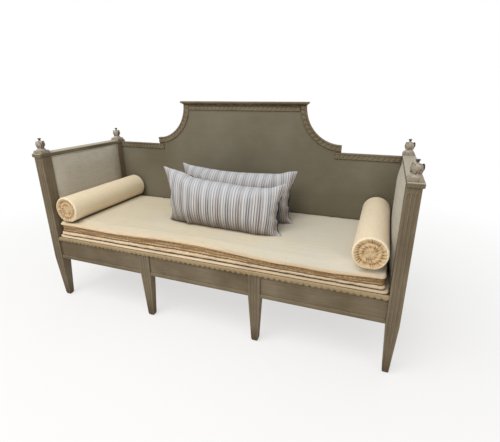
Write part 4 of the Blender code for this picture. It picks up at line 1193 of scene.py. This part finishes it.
@dataclass
class SeatCushions:
    """The linen deck and the loose mattress, with its two hand-sewn rolls and the border between them.

    EDGE_KEPT is how much of its height the front edge keeps, at places from left to right. DECK_EDGE
    rounds the deck's upper edge and CROWN_RISE lifts the mattress's face behind its upper roll, both by
    inset. BOLSTERS, BACK, PILLOWS and PILLOW_FRONT are where the sitting places end, each with the run
    over which they do.
    """

    finishes: Finishes
    roll: float = 0.0115
    groove: float = 0.010
    border: float = 0.034
    fold: float = 0.0042
    crown_run: float = 0.070
    corner: float = 0.024
    step: float = 0.0115
    roll_steps: int = 8
    strips: int = 3
    strip_steps: int = 5
    dip: float = 0.006
    face_depth: float = 0.012
    wander: float = 0.0016
    sag_run: float = 0.18
    deck_corner: float = 0.012
    deck_step: float = 0.030
    deck_wave: float = 0.0008

    BORDER, ROLL, FACE = range(3)
    EDGE_KEPT = ((-0.95, 0.97), (-0.69, 0.94), (-0.544, 0.86), (-0.405, 0.92), (-0.273, 1.0), (-0.117, 1.04),
                 (0.03, 1.0), (0.169, 0.88), (0.302, 0.75), (0.428, 0.64), (0.548, 0.66), (0.663, 0.59),
                 (0.772, 0.67), (0.834, 0.76), (0.887, 0.83), (0.95, 0.88))
    DECK_EDGE = ((0.0, 0.0110), (0.0008, 0.0072), (0.0036, 0.0040), (0.0085, 0.0018), (0.0160, 0.0005),
                 (0.040, 0.0))
    CROWN_RISE = ((0.020, 0.0002), (0.030, 0.0025), (0.042, 0.0070), (0.056, 0.0115))
    BOLSTERS, BACK, PILLOWS, PILLOW_FRONT = (0.74, 0.12), (0.27, 0.10), (0.47, 0.08), (0.23, 0.06)

    def build_deck(self) -> None:
        """Make the deck: a thin pad whose front edge shows as a cream band under the mattress."""
        low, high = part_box("seat_deck")
        height = high.z - low.z
        edge = [(0.030, 0.0), (0.0012, 0.0002), (0.0, 0.0025)]
        edge += [(inset, height - fall) for inset, fall in self.DECK_EDGE]
        pad = SeatPad((high.x - low.x) / 2, (high.y - low.y) / 2, self.deck_corner, self.deck_step,
                      (high.y + low.y) / 2, low.z)
        piece, rows = pad.grow("linen_deck", [(*point, 0) for point in edge], [self.finishes["deck_linen"]])
        points = coordinates(piece.data)
        rim = np.unique(rows[3:-2])
        points[rim, 2] -= self.deck_wave + self.deck_wave * waviness(points[rim], 0.11, 3.1)
        set_coordinates(piece.data, points)
        subdivide(piece)
        settle(piece, FRAME_BODY, "deck_linen", "seat_deck", fill=0.9)

    def section(self, height: float) -> list[tuple[float, float, int]]:
        """Edge of the mattress as (inset, height, cloth above it), from the bottom to the top.

        A roll, a sunk border of sewn strips, a second roll whose upper half is face cloth, then the crown.

        Args:
            height: Height of the mattress.

        Returns:
            The section's points.
        """
        points = [(0.055, 0.0, self.BORDER), (0.024, 0.0003, self.ROLL)]
        turns = np.linspace(0, math.pi, self.roll_steps + 1)
        for turn in turns[1:]:
            points.append((self.groove * (1 - math.sin(turn)), self.roll * (1 - math.cos(turn)), self.ROLL))
        points[-1] = (self.groove + 0.001, 2 * self.roll, self.BORDER)
        for share in np.linspace(0, 1, self.strips * self.strip_steps + 1)[1:-1]:
            bulge = self.fold * abs(math.sin(self.strips * math.pi * share)) ** 0.8
            points.append((self.groove - bulge, 2 * self.roll + self.border * share, self.BORDER))
        for turn in turns:
            # The upper roll's front is in the roll linen, partly a painted highlight, and its underside in the
            # border linen, partly painted shade.
            cloth = self.BORDER if turn < 1.1 else self.ROLL if turn < 2.4 else self.FACE
            points.append((self.groove * (1 - math.sin(turn)),
                           3 * self.roll + self.border - self.roll * math.cos(turn), cloth))
        rim = 4 * self.roll + self.border
        points += [(inset, rim + rise, self.FACE) for inset, rise in self.CROWN_RISE]
        return points + [(self.crown_run, height, self.FACE)]

    def build_mattress(self) -> None:
        """Make the mattress, pucker its edge, and let its top dip where nothing lies on it."""
        low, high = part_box("seat_mattress")
        pad = SeatPad((high.x - low.x) / 2, (high.y - low.y) / 2, self.corner, self.step,
                      (high.y + low.y) / 2, low.z)
        # Border and roll cloths are darker and brighter copies of the face linen, partly painted shade and
        # partly a painted highlight.
        cloths = [self.finishes[f"mattress_{kind}linen"] for kind in ("border_", "roll_", "")]
        piece, edge = pad.grow("linen_mattress", self.section(high.z - low.z), cloths)
        seams = [1 + self.roll_steps + strip * self.strip_steps for strip in range(self.strips + 1)]
        self.wander_edge(piece, edge[seams[0] : seams[-1] + self.roll_steps], pad)
        held = np.ones(len(piece.data.vertices))
        held[np.unique(edge[2:-1])] = 0.0
        held[np.unique(edge[seams])] = 0.85
        Stuffing(pressure=2.2, slack=0.02, reach=0.003).fill(piece, held)
        self.sag_edge(piece, low, high.z)
        self.let_dip(piece, high.z)
        settle(piece, "mattress", "mattress_linen", "seat_mattress", fill=0.7)
        points = coordinates(piece.data)
        stitches = StitchLine().grow("mattress_stitches", [points[edge[row]] for row in seams],
                                     cloths[self.BORDER], Spacing=0.021, Length=0.011, Radius=0.0010, Seed=5)
        settle(stitches, "mattress", "mattress_linen")

    def wander_edge(self, piece: Object, rows: np.ndarray, pad: SeatPad) -> None:
        """Make the border's strips and the upper roll uneven, as hand-sewn edges are.

        Args:
            piece: The mattress.
            rows: Point numbers of the border and of the upper roll, from the bottom up.
            pad: The mattress's plan.
        """
        points = coordinates(piece.data)
        outer, inner = (pad.border(pad.outline_grid(inset)) for inset in (0.0, 0.001))
        outward = np.pad((outer - inner)[:-1] / 0.001, ((0, 0), (0, 1)))
        for number, row in enumerate(rows):
            ring, share = row[:-1], min(1.0, number / 4)
            flat = points[ring] * (1, 1, 0)
            up, out = waviness(flat, 0.16, 7.3 + 0.16 * number), waviness(flat, 0.11, 1.9 + 0.22 * number)
            points[ring] += share * self.wander * (up[:, None] * (0, 0, 1.3) + (out - 0.5)[:, None] * outward)
        set_coordinates(piece.data, points)

    def sag_edge(self, piece: Object, low: Vector, top: float) -> None:
        """Press the front edge down where people sit on it, and leave it fuller beside that.

        Args:
            piece: The mattress.
            low: Lowest corner of its box.
            top: Height of its top.
        """
        points = coordinates(piece.data)
        share = evened(points[:, 0], tuple(zip(*self.EDGE_KEPT)), 0.05, 7)
        bare = within(np.abs(points[:, 0]), *self.BOLSTERS)
        run = self.crown_run + (self.sag_run - self.crown_run) * bare
        near = np.clip(1 - np.maximum(points[:, 1] - low.y - self.groove, 0) / run, 0, 1)
        rim = 3 * self.roll + self.border
        points[:, 2] -= (1 - share) * np.clip(points[:, 2] - low.z, 0, rim) * near * near * (3 - 2 * near)
        points[:, 2] = np.minimum(points[:, 2], top)
        set_coordinates(piece.data, points)

    def let_dip(self, piece: Object, top: float) -> None:
        """Press shallow hollows into the sitting places, clear of the bolsters and pillows.

        Args:
            piece: The mattress.
            top: Height of its top.
        """
        points = coordinates(piece.data)
        x, y, z = np.abs(points[:, 0]), points[:, 1], points[:, 2]
        face = within(top - z, self.face_depth, self.face_depth)
        bare = within(x, *self.BOLSTERS) * within(y, *self.BACK)
        under = within(x, *self.PILLOWS) * within(-y, *self.PILLOW_FRONT)
        flat = points * (1, 1, 0)
        hollow = 0.55 + 0.45 * waviness(flat, 0.17, 4.4) + 0.2 * waviness(flat, 0.06, 8.8)
        points[:, 2] -= face * self.dip * bare * (1 - under) * np.clip(hollow, 0, 1.2)
        set_coordinates(piece.data, points)


@dataclass
class Bolster:
    """A stuffed roll of linen, gathered at both ends into two rings of puckers round a button.

    UNEVEN makes the puckers of the two bolsters differ. END_RINGS are the rings of one end from its rim
    to its middle: radius share, depth, and the depth of the outer and of the inner pleats.
    """

    label: str
    finishes: Finishes
    around: int = 240
    along: int = 56
    radius: float = 0.0772
    flat: float = 0.008
    pleats: int = 26
    inner_pleats: int = 15
    twist: float = 0.35
    inner_twist: float = 1.1
    rim: float = 0.013
    end_gap: float = 0.0008
    button_depth: float = 0.0082
    pale_rings: int = 4
    dent: float = 0.0016
    gather_run: float = 0.030
    ease: float = 0.0022
    clear: float = 0.0002

    UNEVEN = {"left": 0.7, "right": 2.9}
    END_RINGS = ((0.985, 0.0074, 0.0004, 0.0), (0.955, 0.0034, 0.0012, 0.0), (0.920, 0.0011, 0.0024, 0.0),
                 (0.880, 0.0000, 0.0036, 0.0), (0.840, 0.0004, 0.0048, 0.0), (0.790, 0.0016, 0.0062, 0.0),
                 (0.740, 0.0036, 0.0072, 0.0), (0.690, 0.0064, 0.0074, 0.0), (0.645, 0.0090, 0.0058, 0.001),
                 (0.600, 0.0066, 0.0030, 0.002), (0.555, 0.0038, 0.0008, 0.0036), (0.510, 0.0026, 0.0, 0.0056),
                 (0.465, 0.0034, 0.0, 0.0070), (0.420, 0.0054, 0.0, 0.0074), (0.375, 0.0084, 0.0, 0.0058),
                 (0.330, 0.0078, 0.0, 0.0040), (0.275, 0.0058, 0.0, 0.0032), (0.220, 0.0052, 0.0, 0.0028),
                 (0.160, 0.0060, 0.0, 0.0020), (0.100, 0.0074, 0.0, 0.0010), (0.045, 0.0082, 0.0, 0.0))

    def pleat(self, turn: np.ndarray, count: int, twist: float, shift: float) -> np.ndarray:
        """Depth of pleats round a ring: broad folds with sharp creases between.

        Args:
            turn: Angles round the ring.
            count: How many pleats.
            twist: Angle that the pleats are turned by.
            shift: Changes their unevenness.

        Returns:
            Depth from 0 on a fold to 1 in a crease.
        """
        uneven = turn + twist + 0.14 * np.sin(3 * turn + shift) + 0.08 * np.sin(5 * turn + 2.1 * shift)
        depth = 0.72 + 0.28 * np.sin(4 * turn + 3 * shift) * np.sin(7 * turn + shift)
        return depth * (1 - np.abs(np.cos(count * uneven / 2)) ** 0.9)

    def build(self) -> None:
        """Make the bolster and lay it on the mattress against its arm."""
        name = self.label + "_bolster"
        low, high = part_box(name)
        axis = np.array(((low.x + high.x) / 2, 0.0, low.z + self.radius - self.flat))
        front, back = low.y + self.end_gap, high.y - self.end_gap
        turn = np.linspace(0, 2 * math.pi, self.around + 1)[:-1]
        surface = Surface()
        levels = np.linspace(front + self.rim, back - self.rim, self.along)
        rows = np.array([self.ring(axis, turn, self.radius, np.full(self.around, y)) for y in levels])
        rows += self.ruffle(rows, turn, np.minimum(levels - front, back - levels))
        numbers = surface.add_points(rows)
        closed = np.concatenate([numbers, numbers[:, :1]], axis=1)
        arc = np.linspace(0, 2 * math.pi * self.radius, self.around + 1)
        surface.add_patch(closed, np.stack(np.broadcast_arrays(rows[:, :1, 1], arc[None, :]), axis=-1))
        for row, start, way in ((0, front, 1), (-1, back, -1)):
            self.close_end(surface, closed[row], axis, turn, start, way)
        cloths = [self.finishes[cloth] for cloth in ("bolster_linen", "bolster_gather_linen")]
        piece = surface.finish(name + "_linen", cloths)
        points = coordinates(piece.data)
        points[:, 2] = np.maximum(soft_floor(points[:, 2], low.z, self.ease), low.z + self.clear)
        set_coordinates(piece.data, points)
        settle(piece, name, "bolster_linen", name, fill=0.85)

    @staticmethod
    def ring(axis: np.ndarray, turn: np.ndarray, radius: float, y: np.ndarray) -> np.ndarray:
        """Points of one ring round the bolster's axis."""
        return np.stack([axis[0] + radius * np.cos(turn), y, axis[2] + radius * np.sin(turn)], axis=-1)

    def ruffle(self, rows: np.ndarray, turn: np.ndarray, gathers: np.ndarray) -> np.ndarray:
        """Soft dents in the roll, and short gathers that run in from its ends.

        Args:
            rows: Points of the roll, one row for each ring.
            turn: Angles round a ring.
            gathers: Distance of each ring from the nearer end.

        Returns:
            How far each point moves.
        """
        shift = self.UNEVEN[self.label]
        outward = np.stack([np.cos(turn), 0 * turn, np.sin(turn)], axis=-1)[None]
        dents = waviness((rows * (1, 0.45, 1)).reshape(-1, 3), 0.075, shift * 5).reshape(rows.shape[:2])
        short = np.exp(-gathers / self.gather_run)[:, None] * self.pleat(turn, self.pleats, 0.0, shift)[None]
        return outward * (-0.0012 + self.dent * dents - self.dent * short)[..., None]

    def close_end(self, surface: Surface, rim: np.ndarray, axis: np.ndarray, turn: np.ndarray, start: float,
                  way: int) -> None:
        """Close one end with its gathered disc.

        Args:
            surface: The bolster so far.
            rim: Point numbers of the roll's last ring, closed.
            axis: Point on the roll's axis.
            turn: Angles round a ring.
            start: Y of the end's flat.
            way: 1 at the front end, -1 at the rear one.
        """
        shift = self.UNEVEN[self.label]
        rings, reach = [rim], [self.radius]
        for share, depth, outer, inner in self.END_RINGS:
            folds = outer * self.pleat(turn, self.pleats, self.twist * (1 - share), shift)
            inward = self.pleat(turn, self.inner_pleats, self.inner_twist * (1 - share), shift + 1.3)
            y = start + way * (depth + (folds + inner * inward))
            numbers = surface.add_points(self.ring(axis, turn, self.radius * share, y))
            rings.append(np.append(numbers, numbers[0]))
            reach.append(self.radius * share)
        middle = surface.add_points(np.array([[axis[0], start + way * self.button_depth, axis[2]]]))
        rings.append(np.repeat(middle, self.around + 1))
        angle = np.linspace(0, 2 * math.pi, self.around + 1)
        cloth = np.array([*reach, 0.0])[:, None, None] * np.stack([np.cos(angle), np.sin(angle)], axis=-1)
        # Inside the outer rings, the darker gather linen paints the shade of the gathered middle.
        slots = np.repeat(np.arange(len(rings) - 1) >= self.pale_rings, self.around).astype(int)
        surface.add_patch(np.array(rings), cloth, slots, flip=way > 0)


@dataclass
class ArmPad:
    """Linen stretched over stuffing on an arm board, with piping round the inner face."""

    label: str
    side: int
    inner: bool
    finishes: Finishes
    step: float = 0.016
    edge_share: float = 0.42
    first_swell: float = 0.8
    piping_radius: float = 0.0028

    def build(self) -> None:
        """Make the pad, swell its face and tack it to its board."""
        outward = -self.side if self.inner else self.side
        face_name = "inner" if self.inner else "outer"
        node = f"{self.label}_arm_{face_name}_pad"
        low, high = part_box(node)
        board = low.x if outward > 0 else high.x
        crown = high.x - low.x
        edge = crown * self.edge_share
        columns, rows = (round(size / self.step) for size in (high.y - low.y, high.z - low.z))
        y, z = np.meshgrid(np.linspace(low.y, high.y, columns + 1), np.linspace(low.z, high.z, rows + 1))
        u, v = 2 * (y - low.y) / (high.y - low.y) - 1, 2 * (z - low.z) / (high.z - low.z) - 1
        swell = np.sqrt(np.clip(1 - u**4, 0, 1) * np.clip(1 - v**4, 0, 1))
        bulge = edge + (crown - edge) * self.first_swell * swell
        surface = Surface()
        face = surface.add_points(np.stack([board + outward * bulge, y, z], axis=-1))
        back = surface.add_points(np.stack([np.full(y.shape, board), y, z], axis=-1))
        cloth = np.stack([y, z], axis=-1)
        surface.add_patch(face, cloth)
        surface.add_patch(back, cloth, flip=True)
        rim = np.array([SeatPad.border(back), SeatPad.border(face)])
        run = SeatPad.border(cloth)
        surface.add_patch(rim, np.stack([run, run + (0, edge)]))
        piece = surface.finish(f"{self.label}_{face_name}_arm_linen", [self.finishes["grey_linen"]])
        held = np.zeros(len(piece.data.vertices))
        held[np.unique(np.concatenate([back.ravel(), rim.ravel()]))] = 1.0
        Stuffing(pressure=2.0, slack=0.012, reach=0.010).fill(piece, held)
        points = coordinates(piece.data)
        reach = np.abs(points[:, 0] - board)
        over = reach > edge
        reach[over] = edge + (reach[over] - edge) * (crown - edge) / max(reach.max() - edge, 1e-6)
        points[:, 0] = board + outward * reach
        set_coordinates(piece.data, points)
        subdivide(piece)
        settle(piece, FRAME_BODY, "arm_linen", node, fill=0.9)
        if self.inner:
            self.pipe(points[rim[1]], outward)

    def pipe(self, edge: np.ndarray, outward: int) -> None:
        """Run a covered cord round the inner face's edge.

        Args:
            edge: Points of the edge, once round.
            outward: 1 where the face looks to +X, -1 to -X.
        """
        centre = (edge.min(axis=0) + edge.max(axis=0)) / 2
        inset = np.sign(edge - centre) * (0, self.piping_radius, self.piping_radius)
        path = edge - inset + (outward * self.piping_radius * 0.4, 0, 0)
        piece = Piping().grow(self.label + "_arm_piping", [path], self.finishes["grey_linen"],
                              Radius=self.piping_radius)
        settle(piece, FRAME_BODY, "arm_linen")


@dataclass
class LumbarPillow:
    """A striped pillow with a navy back: two flat cloths sewn at the edges and stuffed.

    Its lower ears and its upper seam are drawn to set places, given across and up from the pillow's
    middle, from left to right. Along the sides the navy back cloth turns a little way onto the front.
    Along the foot a navy strip paints the contact shadow under the pillow, and along part of the top a
    navy strip is partly the back cloth and partly painted shade of the gap behind it. The strips are so
    many steps of the cloth wide on the right, the left, the top and the foot.
    """

    name: str
    finishes: Finishes
    foot: tuple[tuple[float, float], ...]
    brow: tuple[tuple[float, float], ...]
    roll: float = 0.0
    turn: float = 0.0
    thickness: float = 0.168
    flat_width: float = 0.790
    flat_height: float = 0.360
    bow: float = 0.010
    first_rise: float = 0.006
    waist: float = 0.020
    nip: float = 0.020
    nip_height: float = -0.62
    nip_run: float = 0.2
    sink: float = 0.012
    slump: float = 0.32
    drop: float = 0.006
    spread: float = 0.3
    ease: float = 0.003
    clear: float = 0.0003
    step: float = 0.0088
    lean: float = math.radians(15)

    NAVY_AND_SHADE_STEPS = (3, 1.5, 1, 4)

    def build(self) -> None:
        """Sew, stuff and place the pillow."""
        piece, seams = self.sew()
        stuffing = Stuffing(pressure=10.0, slack=0.0, reach=0.3, frames=40, bending=0.2)
        stuffing.fill(piece, np.zeros(len(piece.data.vertices)))
        self.place(piece, seams)
        subdivide(piece)
        settle(piece, self.name, "striped_cloth", self.name, fill=0.7)

    def sew(self) -> tuple[Object, np.ndarray]:
        """Lay the two cloths on each other and join them along their edges.

        Returns:
            The flat cover, upright about its middle, and the point numbers of its lower and upper seam.
        """
        columns, rows = round(self.flat_width / self.step), round(self.flat_height / self.step)
        u, v = np.meshgrid(np.linspace(-1, 1, columns + 1), np.linspace(-1, 1, rows + 1))
        rise = self.first_rise * (1 - u**2) * (1 - v**2)
        x = u * (self.flat_width / 2 + self.bow * (1 - v**2))
        z = v * (self.flat_height / 2 + self.bow * (1 - u**2))
        surface = Surface()
        front = surface.add_points(np.stack([x, -rise, z], axis=-1))
        back = front.copy()
        back[1:-1, 1:-1] = surface.add_points(np.stack([x, rise, z], axis=-1)[1:-1, 1:-1])
        cloth = np.stack([x, z], axis=-1)
        right, left, top, foot = (2 * steps for steps in self.NAVY_AND_SHADE_STEPS)
        across, up = u[:-1, :-1] + 1 / columns, v[:-1, :-1] + 1 / rows
        # Along the sides the navy back cloth turns onto the front.
        navy_edges_and_shade_lines = (1 - np.abs(across)) * columns < np.where(across > 0, right, left) * (1 - (up / 0.75) ** 2)
        # Along part of the top a navy strip, partly the back cloth and partly painted shade of the gap behind.
        navy_edges_and_shade_lines |= (up > 1 - top / rows) & (across < -0.1) & (across > -0.9)
        # Along the foot a navy strip that paints the contact shadow under the pillow.
        navy_edges_and_shade_lines |= (up < foot / rows - 1) & (across > -0.9) & (across < 0.7)
        surface.add_patch(front, cloth, navy_edges_and_shade_lines.astype(int))
        surface.add_patch(back, cloth, 1, flip=True)
        cloths = [self.finishes[name] for name in ("striped_cotton", "navy_cotton")]
        return surface.finish(self.name + "_cover", cloths), front[[0, -1]]

    def place(self, piece: Object, seams: np.ndarray) -> None:
        """Draw the cover's ears and seams to their places, lean it back and press it where it rests.

        Args:
            piece: The stuffed cover.
            seams: Point numbers of its lower and upper seam, from left to right.
        """
        soften(piece, 4)
        points = coordinates(piece.data)
        corners = seams[:, [0, -1]].ravel()
        u, v = (points[:, i] / np.abs(points[corners, i]).mean() for i in (0, 2))
        nipped = self.nip * np.exp(-((v - self.nip_height) / self.nip_run) ** 2)
        points[:, 0] -= np.sign(u) * np.abs(u) ** 6 * (self.waist * np.clip(1 - v * v, 0, 1) + nipped)
        points[:, 1] *= 1 - self.slump * np.clip(v, -1, 1)
        points[:, 1] *= self.thickness / np.ptp(points[:, 1])
        x, _, z = points.T
        terms = np.stack([np.ones(len(points)), x, z, x * z], axis=1)
        ears = np.array((*self.foot, self.brow[0], self.brow[-1]))
        points[:, [0, 2]] = terms @ np.linalg.solve(terms[corners], ears)
        for seam, line, fall in zip(seams, (self.foot, self.brow), (self.sink, 0.0)):
            points[:, 2] += self.draw_seam(points, points[seam], np.array(line) - (0, fall))
        turn, lean, roll = (Matrix.Rotation(angle, 3, axis) for angle, axis in
                            ((self.turn, "Z"), (-self.lean, "X"), (self.roll, "Y")))
        low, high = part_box(self.name)
        middle = ((low.x + high.x) / 2, (low.y + high.y) / 2, (low.z + high.z) / 2 - self.drop)
        points = points @ np.array(turn @ lean @ roll).T + middle
        lifted = soft_floor(points[:, 2], low.z + self.clear, self.ease)
        points[:, 1] -= self.spread * (lifted - points[:, 2])
        points[:, 2] = lifted
        set_coordinates(piece.data, points)

    @staticmethod
    def draw_seam(points: np.ndarray, seam: np.ndarray, line: np.ndarray) -> np.ndarray:
        """How far each point rises when a seam is drawn to a line.

        Args:
            points: Points of the cover, before it is leaned back.
            seam: Points of the lower or upper seam, from left to right.
            line: Places across and up that the seam is to follow.

        Returns:
            Rise of each point, full at the seam and none beyond the middle.
        """
        now = np.interp(points[:, 0], np.maximum.accumulate(seam[:, 0]), seam[:, 2])
        aim = evened(points[:, 0], line.T, 0.016, 5)
        return (aim - now) * np.clip(points[:, 2] / now, 0, 1) ** 1.5


@dataclass
class SeatWebbing:
    """Jute bands woven over and under each other across the seat frame."""

    finishes: Finishes
    width: float = 0.050
    thickness: float = 0.0012
    lengthwise: int = 4
    crosswise: int = 11
    weave: float = 0.00075

    def build(self) -> None:
        """Weave the bands and put them in the CAD lattice's place."""
        low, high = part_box("seat_webbing")
        level = (low.z + high.z) / 2
        columns = np.linspace(low.x, high.x, self.crosswise + 2)[1:-1]
        rows = np.linspace(low.y, high.y, self.lengthwise + 2)[1:-1]
        lines = []
        for rank, y in enumerate(rows):
            x = np.linspace(low.x, high.x, 160)
            lines.append(np.stack([x, np.full(len(x), y), level + self.wave(x, columns, rank)], axis=1))
        for rank, x in enumerate(columns):
            y = np.linspace(low.y, high.y, 64)
            lines.append(np.stack([np.full(len(y), x), y, level + self.wave(y, rows, rank + 1)], axis=1))
        piece = WovenBand().grow("jute_webbing", lines, self.finishes["jute_webbing"], Width=self.width,
                                 Thickness=self.thickness)
        settle(piece, FRAME_BODY, "jute_webbing", "seat_webbing")

    def wave(self, run: np.ndarray, crossings: np.ndarray, rank: int) -> np.ndarray:
        """Rise and fall of a band over the bands that cross it.

        Args:
            run: Places along the band.
            crossings: Places of the crossing bands' middles.
            rank: The band's number, which sets whether it starts over or under.

        Returns:
            Height above the middle level at each place.
        """
        pitch = crossings[1] - crossings[0]
        return self.weave * np.cos(math.pi * ((run - crossings[0]) / pitch + rank))


@dataclass
class Studio:
    """Plain pale floor, white surroundings and soft light."""

    floor_half: float = 9.0
    world_level: float = 0.50
    floor_colour: str = "#efede9"

    AIM = Vector((0, 0, 0.55))

    def build(self) -> None:
        """Make the floor, the world and the lamps."""
        self.make_world()
        self.make_floor()
        self.add_lamp("key", (-0.7, -2.4, 4.0), 3.0, 136)
        self.add_lamp("fill", (2.8, -2.6, 2.2), 2.6, 15)

    def make_world(self) -> None:
        """White behind the sofa and in reflections, and an even soft light on it."""
        world = bpy.data.worlds.new("studio")
        bpy.context.scene.world = world
        world.use_nodes = True
        tree = world.node_tree
        tree.nodes.clear()
        strength = add_node(tree, RANGE, {0: self.seen(tree), 3: self.world_level, 4: 1.0})
        white = add_node(tree, "ShaderNodeBackground", {"Color": "#ffffff", "Strength": strength})
        add_node(tree, "ShaderNodeOutputWorld", {"Surface": white})

    @staticmethod
    def seen(tree: NodeTree) -> NodeSocket:
        """Mark rays that show the surroundings to the eye: straight, in gloss or through glass.

        Args:
            tree: Shader tree.

        Returns:
            1 for such rays and 0 for the rest.
        """
        path = add_node(tree, "ShaderNodeLightPath").node.outputs
        mirrored = add_node(tree, MATH, {0: path["Is Glossy Ray"], 1: path["Is Transmission Ray"]},
                            operation="MAXIMUM")
        return add_node(tree, MATH, {0: path["Is Camera Ray"], 1: mirrored}, operation="MAXIMUM")

    def make_floor(self) -> None:
        """A wide pale floor that keeps the sofa's shadow and turns white away from it."""
        mesh = bpy.data.meshes.new("studio_floor")
        half = self.floor_half
        corners = [(-half, -half, 0), (half, -half, 0), (half, half, 0), (-half, half, 0)]
        mesh.from_pydata(corners, [], [(0, 1, 2, 3)])
        material, tree = new_material("pale_floor")
        place = add_node(tree, "ShaderNodeTexCoord", output="Object")
        far = add_node(tree, "ShaderNodeVectorMath", {0: place}, "Value", operation="LENGTH")
        faded = add_node(tree, RANGE, {0: far, 1: 1.0, 2: 3.0, 3: 0.62, 4: 1.0})
        share = add_node(tree, MATH, {0: faded, 1: self.seen(tree)}, operation="MULTIPLY")
        plain = add_node(tree, "ShaderNodeBsdfPrincipled",
                         {"Base Color": self.floor_colour, "Roughness": 0.9, "Specular IOR Level": 0.1})
        white = add_node(tree, "ShaderNodeEmission", {"Color": "#ffffff", "Strength": 1.0})
        mixed = add_node(tree, "ShaderNodeMixShader", {0: share, 1: plain, 2: white})
        add_node(tree, "ShaderNodeOutputMaterial", {"Surface": mixed})
        mesh.materials.append(material)
        add_object("studio_floor", mesh)

    def add_lamp(self, name: str, place: Sequence[float], size: float, power: float) -> None:
        """Hang a square soft lamp that looks at the seat.

        Args:
            name: The lamp's name.
            place: Where it hangs.
            size: Width of its face.
            power: Its power in watts.
        """
        data = bpy.data.lights.new(name, "AREA")
        data.size, data.energy = size, power
        lamp = add_object(name, data)
        lamp.location = place
        lamp.rotation_euler = (self.AIM - Vector(place)).to_track_quat("-Z", "Y").to_euler()


@dataclass
class PhotoCamera:
    """Camera at the place, angle and framing of the photograph."""

    place: tuple[float, float, float] = (0.8486, -1.763, 1.2395)
    turn: float = 0.3656
    pitch: float = 0.3465
    roll: float = -0.0044
    focal_px: float = 350.17
    frame_px: tuple[int, int] = (500, 442)
    axis_row: float = 218.35

    def build(self) -> None:
        """Make the camera and give it to the scene."""
        data = bpy.data.cameras.new("photo_camera")
        data.lens = self.focal_px / self.frame_px[0] * data.sensor_width
        data.shift_y = (self.axis_row - self.frame_px[1] / 2) / self.frame_px[0]
        camera = add_object("photo_camera", data)
        aim = Matrix.Rotation(self.turn, 4, "Z") @ Matrix.Rotation(math.pi / 2 - self.pitch, 4, "X")
        camera.matrix_world = Matrix.Translation(self.place) @ aim @ Matrix.Rotation(self.roll, 4, "Z")
        bpy.context.scene.camera = camera


REAR_FOOT = ((-0.365, -0.158), (0.375, -0.158))
REAR_BROW = ((-0.387, 0.153), (-0.321, 0.139), (-0.202, 0.127), (-0.094, 0.119), (0.002, 0.117),
             (0.109, 0.120), (0.266, 0.127), (0.311, 0.143), (0.365, 0.150))
FRONT_FOOT = ((-0.322, -0.169), (0.387, -0.165))
FRONT_BROW = ((-0.410, 0.136), (-0.270, 0.116), (-0.190, 0.093), (-0.100, 0.087), (0.000, 0.086),
              (0.130, 0.081), (0.280, 0.091), (0.367, 0.128))


def main() -> None:
    """Dress the frame, sew the soft pieces, and set the camera and the light."""
    logging.basicConfig(level=logging.INFO, format="%(name)s: %(message)s")
    for item in list(bpy.data.objects):
        bpy.data.objects.remove(item)
    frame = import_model()
    bpy.context.scene.view_settings.view_transform = "Standard"
    PhotoCamera().build()
    Studio().build()
    finishes = {finish.name: finish.build() for finish in FINISHES}
    soft = ["seat_deck", "seat_mattress", "seat_webbing", "rear_pillow", "front_pillow"]
    sided = ("bolster", "arm_inner_pad", "arm_outer_pad")
    soft += [f"{label}_{kind}" for label, _ in SIDES for kind in sided]
    LumbarPillow("rear_pillow", finishes, REAR_FOOT, REAR_BROW).build()
    LumbarPillow("front_pillow", finishes, FRONT_FOOT, FRONT_BROW, roll=math.radians(2),
                 turn=math.radians(-1.5)).build()
    cushions = SeatCushions(finishes)
    cushions.build_mattress()
    cushions.build_deck()
    for label, side in SIDES:
        Bolster(label, finishes).build()
        for inner in (True, False):
            ArmPad(label, side, inner, finishes).build()
    SeatWebbing(finishes).build()
    woodwork = Woodwork(finishes, frame["nodes"])
    woodwork.dress(soft)
    woodwork.carve()


if __name__ == "__main__":
    main()
